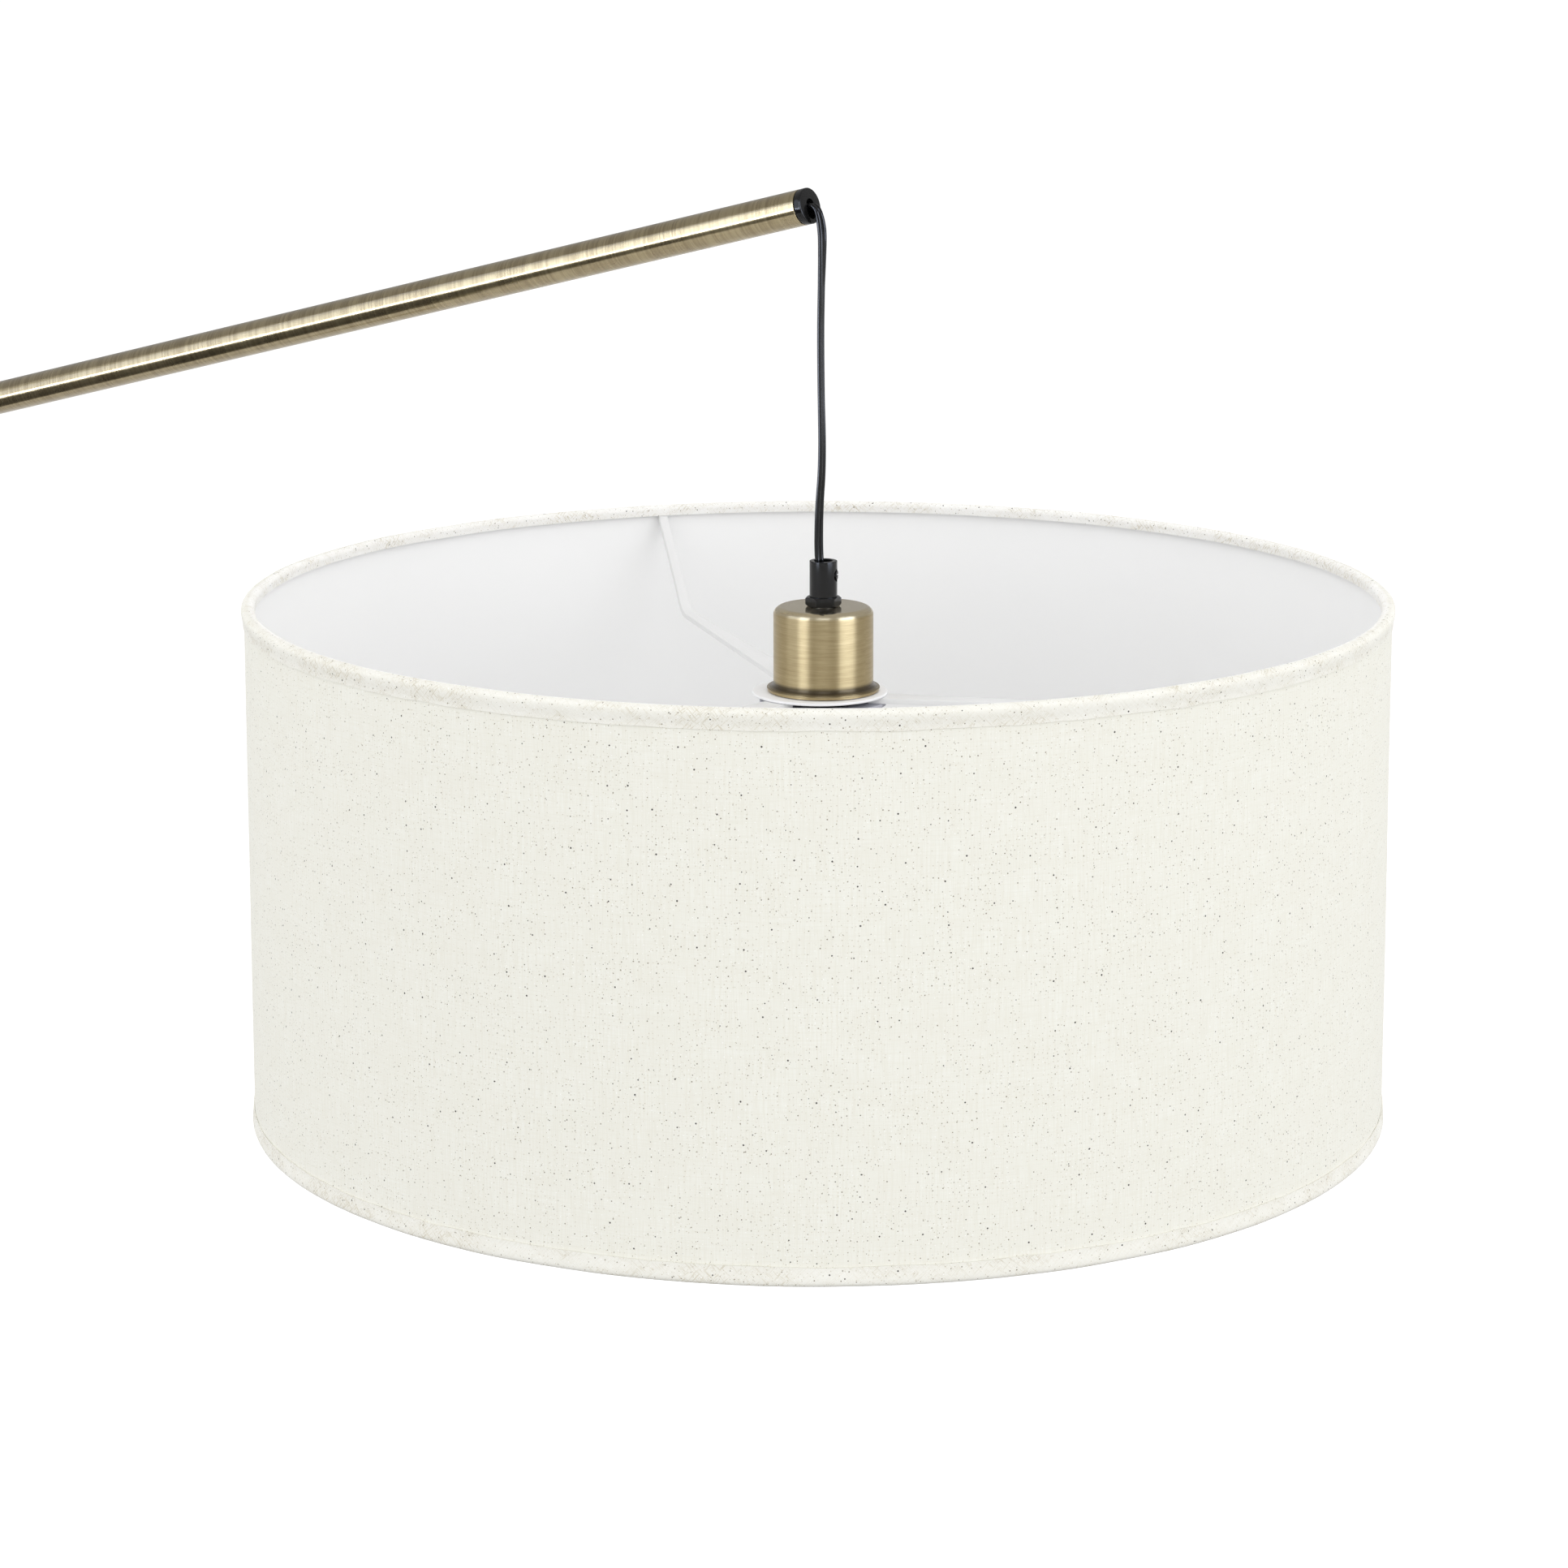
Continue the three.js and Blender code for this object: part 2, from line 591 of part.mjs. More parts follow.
function buildHolder() {
  const holder = subgroup(lamp, PENDANT_X, 0, RIM_Z);
  const cupTop = -5.7;
  const cupFoot = GAP - HOLDER_DROP;

  // The cord grip: a round body on a hexagon, with a side hole for the nylon screw that holds the flex.
  const gripTop = 14.8;
  const hexagon = nut(7.9, 5.25, cupTop + GAP, -1.4);
  const body = pipe(6.2, 3.9, -1.9, gripTop, 20);
  const screwAngle = THREE.MathUtils.degToRad(21);
  const screwHeight = 8.4;
  const toSide = (geometry) => alongX(geometry).rotateZ(screwAngle).translate(0, 0, screwHeight);
  piece(holder, "cord_grip", "blackPlastic", cut(join(hexagon, body), toSide(rod(2.5, 2, 8, 12))));
  piece(holder, "grip_screw", "nylon", toSide(rod(2.2, 3.95, 5.3, 10)));
  piece(holder, "grip_nipple", "steel", pipe(4.95, 3.6, -15.7, -2.2, 16));

  const cup = turned(
    [
      [5.3, cupTop],
      ...arc(18.5, cupTop - 3.5, 3.5, 90, 0, 3),
      [22, -38.6],
      [23, -41],
      [25.1, -42.2],
      [25.1, cupFoot],
      [22.2, cupFoot + 0.6],
      [21.1, -39],
      ...arc(18.5, cupTop - 3.5, 2.6, 0, 90, 3),
      [5.3, cupTop - 0.9],
    ],
    24,
  );
  piece(holder, "socket_cup", "antiqueBrass", cup);

  const [top, floor, mouth] = [-8, -31, -70];
  const socket = turned(
    [
      [5.25, top],
      [14, top],
      [19, top - 4],
      [19, mouth],
      [14.6, mouth],
      [14.6, floor],
      [3.2, floor],
      [3.2, -16],
      [5.25, -16],
    ],
    20,
  );
  piece(holder, "lampholder", "blackPlastic", socket);
  piece(holder, "screw_shell", "brightBrass", pipe(14.3, 13.7, mouth + 2, floor - 3, 20));
  piece(holder, "centre_contact", "brightBrass", block([-6, 6], [-2, 2], [floor - 1.2, floor - GAP]));

  const ringTop = -HOLDER_DROP - DISC.thick - GAP;
  const retainer = turned(
    [
      [19.4, ringTop],
      [27, ringTop],
      [27, ringTop - 2],
      [21.6, ringTop - 3.6],
      [21.6, ringTop - 12],
      [19.4, ringTop - 12],
    ],
    24,
  );
  piece(holder, "shade_ring", "whitePlastic", retainer);

  const cap = turned(
    [
      [0, floor - 2],
      [4, floor - 2.3],
      [5, floor - 4],
      [9, floor - 5.5],
      [13.1, floor - 8],
      [13.1, -61],
      [0, -61],
    ],
    16,
  );
  piece(holder, "bulb_cap", "steel", cap);
  const housing = turned(
    [
      [0, -61.3],
      [13.2, -61.3],
      [13.2, -70.5],
      [15, -73],
      [23, -88],
      [27.6, -99.5],
      [0, -99.5],
    ],
    20,
  );
  piece(holder, "bulb_housing", "whitePlastic", housing);
  const globe = turned(
    [[0, -142], ...arc(0, -112, 30, -75, 24.5, 6), ...arc(0, -112, 28.5, 24.5, -75, 6), [0, -140.5]],
    20,
  );
  piece(holder, "bulb_globe", "opal", globe);
}

// ---------------------------------------------------------------- shade

function buildShade() {
  const shade = subgroup(lamp, PENDANT_X + SHADE_SLIP[0], SHADE_SLIP[1], RIM_Z);
  const edge = TRIM + LAYER_GAP; // the layers stop this far inside the trims
  const clothOuter = SHADE_RADIUS - TRIM - LAYER_GAP;
  const linerOuter = clothOuter - CLOTH - LAYER_GAP;
  const wireCentre = linerOuter - LINER - LAYER_GAP - RING_WIRE;
  const tapeInner = wireCentre - RING_WIRE - GAP;
  const ring = (outer, thick) => pipe(outer, outer - thick, edge - SHADE_HEIGHT, -edge, SHADE_SIDES);

  piece(shade, "shade_cover", "linen", ring(clothOuter, CLOTH));
  piece(shade, "shade_liner", "styrene", ring(linerOuter, LINER));

  const wire = (z) => turned(arc(wireCentre, z, RING_WIRE, 0, 288, 4), SHADE_SIDES);
  piece(shade, "top_ring", "whiteMetal", wire(-edge - RING_WIRE));
  piece(shade, "bottom_ring", "whiteMetal", wire(edge + RING_WIRE - SHADE_HEIGHT));

  // The bias tape folds over each rim, round the wire.
  const tape = (z, down) =>
    turned(
      [
        [SHADE_RADIUS, z + down * TRIM_HEIGHT],
        [SHADE_RADIUS, z],
        [tapeInner - TRIM, z],
        [tapeInner - TRIM, z + down * TRIM_HEIGHT],
        [tapeInner, z + down * TRIM_HEIGHT],
        [tapeInner, z + down * TRIM],
        [SHADE_RADIUS - TRIM, z + down * TRIM],
        [SHADE_RADIUS - TRIM, z + down * TRIM_HEIGHT],
      ],
      SHADE_SIDES,
    );
  // A notch in the tape's inner side lets each spider arm through to the ring.
  const notch = block([tapeInner - 3, tapeInner + GAP], [-ARM.tipWidth, ARM.tipWidth], [-10, -edge]);
  const notches = ARM_ANGLES.map((angle) => notch.clone().rotateZ(THREE.MathUtils.degToRad(angle)));
  piece(shade, "top_trim", "linen", cut(tape(0, -1), ...notches));
  piece(shade, "bottom_trim", "linen", tape(-SHADE_HEIGHT, 1));

  piece(
    shade,
    "fitter_disc",
    "whiteMetal",
    pipe(DISC.outer, DISC.inner, -HOLDER_DROP - DISC.thick, -HOLDER_DROP, 24),
  );
  ARM_ANGLES.forEach((angle, i) =>
    piece(
      shade,
      `spider_arm_${i + 1}`,
      "whiteMetal",
      spiderArm(wireCentre - RING_WIRE - GAP, -edge - RING_WIRE).rotateZ(THREE.MathUtils.degToRad(angle)),
    ),
  );
}

// One arm along +X: level from the disc to the knee, then sloping up to the top ring, tapering as it goes.
function spiderArm(tipRadius, tipZ) {
  const { hubWidth, kneeWidth, tipWidth, thick, kneeRadius } = ARM;
  const start = DISC.outer + GAP;
  const level = -HOLDER_DROP;
  const lean = 1.1; // how far the sloping stretch's underside is set along X
  const side = new THREE.Shape([
    new THREE.Vector2(start, level - thick),
    new THREE.Vector2(kneeRadius + lean, level - thick),
    new THREE.Vector2(tipRadius, tipZ - 2 * lean),
    new THREE.Vector2(tipRadius, tipZ),
    new THREE.Vector2(kneeRadius, level),
    new THREE.Vector2(start, level),
  ]);
  const plan = new THREE.Shape([
    new THREE.Vector2(start, -hubWidth / 2),
    new THREE.Vector2(kneeRadius, -kneeWidth / 2),
    new THREE.Vector2(tipRadius, -tipWidth / 2),
    new THREE.Vector2(tipRadius, tipWidth / 2),
    new THREE.Vector2(kneeRadius, kneeWidth / 2),
    new THREE.Vector2(start, hubWidth / 2),
  ]);
  return common(plate(side, -hubWidth, hubWidth).rotateX(Math.PI / 2), plate(plan, -60, 10));
}

buildBase();
buildPole();
buildHead();
buildBoom();
buildFlex();
buildHolder();
buildShade();

export default lamp;
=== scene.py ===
"""A floor lamp: a weighted round base, a pole, a long tilting boom, and a linen shade on a flat flex.

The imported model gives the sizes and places, in metres. Turned pieces are made again with smooth sides and
soft edges from the outlines of their CAD solids. The cast and moulded pieces, the shade, the spider, the
cables and the spring are built here, and a few small CAD solids stay with bevels.
"""

import json
import math

import bmesh
import bpy
import numpy as np
from mathutils import Matrix, Vector, noise


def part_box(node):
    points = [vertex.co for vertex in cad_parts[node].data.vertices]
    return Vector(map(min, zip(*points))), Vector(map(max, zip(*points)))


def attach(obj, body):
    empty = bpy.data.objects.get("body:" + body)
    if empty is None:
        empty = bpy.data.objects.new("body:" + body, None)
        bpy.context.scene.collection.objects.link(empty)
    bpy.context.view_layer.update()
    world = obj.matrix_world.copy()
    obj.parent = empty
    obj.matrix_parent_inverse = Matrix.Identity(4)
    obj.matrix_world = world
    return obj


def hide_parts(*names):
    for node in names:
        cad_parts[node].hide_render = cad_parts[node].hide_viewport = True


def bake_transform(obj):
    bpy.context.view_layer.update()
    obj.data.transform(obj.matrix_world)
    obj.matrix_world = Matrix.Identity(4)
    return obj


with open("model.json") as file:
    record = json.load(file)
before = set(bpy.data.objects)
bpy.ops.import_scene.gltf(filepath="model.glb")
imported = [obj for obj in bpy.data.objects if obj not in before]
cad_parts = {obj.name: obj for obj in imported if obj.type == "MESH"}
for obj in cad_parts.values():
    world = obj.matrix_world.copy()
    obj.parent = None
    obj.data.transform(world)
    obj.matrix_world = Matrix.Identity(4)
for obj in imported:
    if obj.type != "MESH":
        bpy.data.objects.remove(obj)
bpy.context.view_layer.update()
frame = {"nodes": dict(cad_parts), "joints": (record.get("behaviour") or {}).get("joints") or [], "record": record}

MM = 0.001
RECORD = frame["record"]
BODY_OF = {node: body for body, nodes in RECORD["behaviour"]["bodies"].items() for node in nodes}
SLOT_OF = {row["node"]: row["material_slot"] for row in RECORD["subparts"]}
JOINTS = {joint["name"]: joint for joint in frame["joints"]}

# -------- places, worked out from the frame

PIVOT = Vector(JOINTS["boom_tilt"]["pos_m"])
MOUTH = Vector(JOINTS["flex_plumb"]["pos_m"])  # where the flex leaves the end cap
GRIP_MOUTH = Vector(JOINTS["shade_swing"]["pos_m"])
BOOM_RISE = math.atan2(MOUTH.z - PIVOT.z, MOUTH.x - PIVOT.x)
BOOM_LENGTH = (MOUTH - PIVOT).length

TRIM_LOW, TRIM_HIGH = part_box("top_trim")
SHADE_RADIUS = (TRIM_HIGH.x - TRIM_LOW.x) / 2
RIM_Z = TRIM_HIGH.z
SHADE_HEIGHT = RIM_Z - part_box("bottom_trim")[0].z
SHADE_CENTRE = Vector(((TRIM_LOW.x + TRIM_HIGH.x) / 2, (TRIM_LOW.y + TRIM_HIGH.y) / 2, RIM_Z))


def middle(node):
    low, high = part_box(node)
    return (low + high) / 2


def turn(degrees, axis):
    return Matrix.Rotation(math.radians(degrees), 4, axis)


# Each place is a frame whose Z axis is the axis that its pieces are turned about.
ON_FLOOR = Matrix.Identity(4)
AT_BUTTON = Matrix.Translation((middle("foot_button").x, middle("foot_button").y, 0))
ALONG_GLAND = Matrix.Translation((0, 0, middle("cord_gland").z)) @ turn(90, "Y")
AT_HEAD = Matrix.Translation(PIVOT)
ALONG_BOLT = AT_HEAD @ turn(-90, "X")
ALONG_BOOM = AT_HEAD @ turn(90 - math.degrees(BOOM_RISE), "Y")
AT_HUB = AT_HEAD @ turn(-math.degrees(BOOM_RISE), "Y")  # X runs up the boom
AT_HOLDER = Matrix.Translation((GRIP_MOUTH.x, GRIP_MOUTH.y, RIM_Z))
AT_SHADE = Matrix.Translation(SHADE_CENTRE)
DISC_SLIP = Vector((0.62, 0.41, 0)) * MM  # the disc's hole is loose on the lampholder
AT_DISC = Matrix.Translation(SHADE_CENTRE + DISC_SLIP)

# -------- camera

CAMERA_AZIMUTH = math.radians(33.3)
CAMERA_PITCH = math.radians(-12.88)
CAMERA_DISTANCE = 1.9355  # from the shade's axis, level
CAMERA_ABOVE_RIM = 0.3556
SENSOR_MM, LENS_MM = 36, 101.55
CAMERA_SHIFT = -0.0218
LOOK = Vector((-math.sin(CAMERA_AZIMUTH), math.cos(CAMERA_AZIMUTH), 0))
RIGHT = Vector((math.cos(CAMERA_AZIMUTH), math.sin(CAMERA_AZIMUTH), 0))


def make_camera():
    data = bpy.data.cameras.new("camera")
    data.sensor_width = SENSOR_MM
    data.lens = LENS_MM
    data.shift_x = CAMERA_SHIFT
    data.clip_end = 200
    camera = bpy.data.objects.new("camera", data)
    camera.location = SHADE_CENTRE - LOOK * CAMERA_DISTANCE + Vector((0, 0, CAMERA_ABOVE_RIM))
    camera.rotation_euler = (math.pi / 2 + CAMERA_PITCH, 0, CAMERA_AZIMUTH)
    bpy.context.scene.collection.objects.link(camera)
    bpy.context.scene.camera = camera


make_camera()

# -------- mesh helpers

SMOOTH_ANGLE = math.radians(32)
CORNER_ANGLE = math.radians(30)  # an outline's turns below this are left as they are
ON_AXIS = 1e-6


def new_object(name, mesh, place=ON_FLOOR):
    if isinstance(mesh, bmesh.types.BMesh):
        built = mesh
        mesh = bpy.data.meshes.new(name)
        built.to_mesh(mesh)
        built.free()
    mesh.shade_smooth()
    mesh.set_sharp_from_angle(angle=SMOOTH_ANGLE)
    made = bpy.data.objects.new(name, mesh)
    made.matrix_world = place
    bpy.context.scene.collection.objects.link(made)
    return made


def add_piece(name, mesh, place, node, material=None):
    """A piece that stands for a CAD node, with that node's body, slot and finish."""
    made = new_object(name, mesh, place)
    made.data.materials.append(material or FINISH[SLOT_OF[node]])
    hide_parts(node)
    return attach(made, BODY_OF[node])


def lathe(outline, sides=96, closed=True, shift=None):
    """A body turned about Z from (radius, height) corners. UVs are metres: round it, then along the outline.

    shift(angle, radius, height) gives a point's own radius and height.
    """
    built = bmesh.new()
    uv = built.loops.layers.uv.new("UVMap")
    count = len(outline)
    steps = [math.dist(outline[i], outline[(i + 1) % count]) for i in range(count)]
    run = [0, *np.cumsum(steps).tolist()]
    girth = 2 * math.pi * max(r for r, _ in outline)
    rings = []
    for j in range(sides):
        angle = 2 * math.pi * j / sides
        ring = []
        for radius, height in outline:
            if shift:
                radius, height = shift(angle, radius, height)
            ring.append(built.verts.new((radius * math.cos(angle), radius * math.sin(angle), height)))
        rings.append(ring)
    for j in range(sides):
        for i in range(count if closed else count - 1):
            k = (i + 1) % count
            if outline[i][0] < ON_AXIS and outline[k][0] < ON_AXIS:
                continue
            near, far = rings[j], rings[(j + 1) % sides]
            face = built.faces.new((near[i], far[i], far[k], near[k]))
            across = (j, j + 1, j + 1, j)
            along = (run[i], run[i], run[i + 1], run[i + 1])
            for loop, x, y in zip(face.loops, across, along):
                loop[uv].uv = (x / sides * girth, y)
    bmesh.ops.remove_doubles(built, verts=built.verts, dist=1e-7)
    bmesh.ops.recalc_face_normals(built, faces=built.faces)
    return built


def rounded(start, corner, finish, shares):
    """Points at those shares of a soft curve that leaves start for the corner and arrives at finish."""
    return [tuple(start * (1 - t) ** 2 + corner * 2 * t * (1 - t) + finish * t**2) for t in shares]


def soften(outline, size):
    """The outline with each sharp corner off the axis rounded, over size on each side of it."""
    points = [Vector(p) for p in outline]
    side_share = 0.45  # the most of a side that a corner may take
    out = []
    for i, corner in enumerate(points):
        before = points[i - 1] - corner
        after = points[(i + 1) % len(points)] - corner
        turned = math.pi - before.angle(after, math.pi)
        if corner.x < ON_AXIS or turned < CORNER_ANGLE:
            out.append(tuple(corner))
            continue
        start = corner + before * min(size / before.length, side_share)
        finish = corner + after * min(size / after.length, side_share)
        out += rounded(start, corner, finish, (0, 0.25, 0.5, 0.75, 1))
    return out


def arc(centre_r, centre_h, radius, start, stop, steps):
    """Points of an outline on an arc, with angles in degrees."""
    angles = np.radians(np.linspace(start, stop, steps + 1))
    return [(centre_r + radius * math.cos(a), centre_h + radius * math.sin(a)) for a in angles]


def cad_outline(node, place):
    """The (radius, height) outline of a turned CAD solid about a place's Z axis, read from one meridian."""
    mesh = frame["nodes"][node].data
    into = place.inverted()
    same = 0.03 * MM
    corners = []

    def corner_of(point):
        spot = (math.hypot(point.x, point.y), point.z)
        for i, known in enumerate(corners):
            if math.dist(known, spot) < same:
                return i
        corners.append(spot)
        return len(corners) - 1

    local = [into @ v.co for v in mesh.vertices]
    index = [corner_of(p) for p in local]
    links = {}
    for edge in mesh.edges:
        a, b = edge.vertices
        p, q = Vector(local[a].xy), Vector(local[b].xy)
        on_axis = min(p.length, q.length) < same
        if index[a] != index[b] and (on_axis or p.angle(q) < 0.01):
            links.setdefault(index[a], set()).add(index[b])
            links.setdefault(index[b], set()).add(index[a])
    on_axis = [i for i in links if corners[i][0] < same]
    walk = [min(on_axis or links, key=lambda i: corners[i][1])]
    while True:
        onward = [i for i in sorted(links[walk[-1]]) if i not in walk]
        if not onward:
            return [corners[i] for i in walk]
        walk.append(onward[0])


def combine(built, other, operation):
    """One mesh joined to or cut by another. Both are bmeshes, or the first is the object made so far."""
    other_object = new_object("tool", other)
    base = built if isinstance(built, bpy.types.Object) else new_object("base", built)
    modifier = base.modifiers.new("combine", "BOOLEAN")
    modifier.operation = operation
    modifier.solver = "EXACT"
    modifier.object = other_object
    bpy.context.view_layer.update()
    mesh = bpy.data.meshes.new_from_object(base.evaluated_get(bpy.context.evaluated_depsgraph_get()))
    out = bmesh.new()
    out.from_mesh(mesh)
    for used in (base, other_object):
        bpy.data.objects.remove(used)
    bpy.data.meshes.remove(mesh)
    return out


def cut(built, *tools):
    for tool in tools:
        built = combine(built, tool, "DIFFERENCE")
    return built


def join(built, *others):
    for other in others:
        built = combine(built, other, "UNION")
    return built


def moved(built, matrix):
    bmesh.ops.transform(built, matrix=matrix, verts=built.verts)
    return built


def rod(radius, low, high, sides=48):
    return lathe([(0, low), (radius, low), (radius, high), (0, high)], sides, closed=False)


def prism(points, low, high):
    """A solid with a flat outline in X and Y, from low to high in Z."""
    built = bmesh.new()
    face = built.faces.new([built.verts.new((x, y, low)) for x, y in points])
    top = bmesh.ops.extrude_face_region(built, geom=[face])["geom"]
    verts = [item for item in top if isinstance(item, bmesh.types.BMVert)]
    bmesh.ops.translate(built, verts=verts, vec=(0, 0, high - low))
    bmesh.ops.recalc_face_normals(built, faces=built.faces)
    return built


def block(x, y, z):
    return prism([(x[0], y[0]), (x[1], y[0]), (x[1], y[1]), (x[0], y[1])], *z)


def add_bevel(made, width):
    """Soft edges as a modifier, on a piece or on a CAD solid, whose split corners are welded first."""
    weld = made.modifiers.new("weld", "WELD")
    weld.merge_threshold = 1e-6
    bevel = made.modifiers.new("bevel", "BEVEL")
    bevel.width = width
    bevel.segments = 3
    bevel.limit_method = "ANGLE"
    bevel.angle_limit = SMOOTH_ANGLE
    bevel.harden_normals = False


# -------- hanging flex

# Points are (x, z) from the cap's face, in metres: over the slot's lip, then down into the cord grip.
FLEX_ROUTE = [
    (0, 0), (0.0016, 0), (0.003, -0.001), (0.0041, -0.0028), (0.005, -0.0054), (0.0057, -0.0086),
    (0.0061, -0.012), (0.0062, -0.0147), (0.0061, -0.022), (0.0057, -0.036), (0.0054, -0.055),
    (0.0056, -0.080), (0.0061, -0.105), (0.0058, -0.118), (0.0049, -0.130), (0.0044, -0.142),
    (0.0045, -0.154), (0.0054, -0.163),
]
FLEX_WIDTH = 0.0046
FLEX_LOBE = FLEX_WIDTH / 4
# The wide side's bearing down the flex: (depth below the cap, degrees from +X).
FLEX_TWIST = [(0, 90), (0.010, 74), (0.035, 99), (0.085, 99), (0.150, 76), (0.165, 76)]

# The pairs of knots that each level of the Catmull-Rom pyramid spans.
SPANS = (((0, 1), (1, 2), (2, 3)), ((0, 2), (1, 3)), ((1, 2),))


def smooth_line(points, step):
    """A centripetal Catmull-Rom line through the points, at about that step."""
    points = [Vector(p) for p in points]
    points = [2 * points[0] - points[1], *points, 2 * points[-1] - points[-2]]
    line = []
    for a, b, c, d in zip(points, points[1:], points[2:], points[3:]):
        knots = np.cumsum([0, *(math.sqrt((q - p).length) for p, q in ((a, b), (b, c), (c, d)))])
        pieces = max(1, round((c - b).length / step))
        for t in np.linspace(knots[1], knots[2], pieces, endpoint=False):
            level = [a, b, c, d]
            for spans in SPANS:
                shares = [(t - knots[i]) / (knots[j] - knots[i]) for i, j in spans]
                level = [p.lerp(q, share) for p, q, share in zip(level, level[1:], shares)]
            line.append(level[0])
    return [*line, points[-2]]


def twin_section():
    """The outline of a flat twin flex: two round lobes with a narrow web between them."""
    web = 23  # half the web's width, in degrees round a lobe
    right = arc(FLEX_LOBE, 0, FLEX_LOBE, web - 180, 180 - web, 14)
    left = arc(-FLEX_LOBE, 0, FLEX_LOBE, web, 360 - web, 14)
    return [*right, *left]


def round_section(radius, sides=16):
    angles = np.linspace(0, 2 * math.pi, sides, endpoint=False)
    return [(radius * math.cos(a), radius * math.sin(a)) for a in angles]


def skin(built, rings):
    """Joins rings of points into a closed body. Gives each side face, its ring, and its place round it."""
    count = len(rings[0])
    sides = []
    for i, (near, far) in enumerate(zip(rings, rings[1:])):
        for j in range(count):
            k = (j + 1) % count
            sides.append((built.faces.new((near[j], near[k], far[k], far[j])), i, j))
    built.faces.new(rings[0])
    built.faces.new(rings[-1])
    return sides


def tube(line, section, wide):
    """A section swept down a line. wide is the way its first axis leans, or a function of the point."""
    built = bmesh.new()
    uv = built.loops.layers.uv.new("UVMap")
    rings = []
    for i, point in enumerate(line):
        along = (line[min(i + 1, len(line) - 1)] - line[max(i - 1, 0)]).normalized()
        lean = wide(point) if callable(wide) else wide
        lean = (lean - along * lean.dot(along)).normalized()
        thin = along.cross(lean)
        rings.append([built.verts.new(point + lean * x + thin * y) for x, y in section])
    count = len(section)
    girth = sum(math.dist(section[i - 1], section[i]) for i in range(count))
    run = np.cumsum([0, *((q - p).length for p, q in zip(line, line[1:]))])
    for face, i, j in skin(built, rings):
        for loop, x, y in zip(face.loops, (j, j + 1, j + 1, j), (i, i, i + 1, i + 1)):
            loop[uv].uv = (x / count * girth, run[y])
    bmesh.ops.recalc_face_normals(built, faces=built.faces)
    return built


def bearing(degrees):
    return Vector((math.cos(math.radians(degrees)), math.sin(math.radians(degrees)), 0))


def make_flex():
    line = smooth_line([MOUTH + Vector((x, 0, z)) for x, z in FLEX_ROUTE], 0.0012)
    depths, bearings = zip(*FLEX_TWIST)

    def wide_side(point):
        return bearing(np.interp(MOUTH.z - point.z, depths, bearings))

    flex = new_object("hanging_flex", tube(line, twin_section(), wide_side))
    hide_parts("flex_bend", "pendant_flex")
    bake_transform(flex)
    return flex


flex = make_flex()

# -------- material helpers


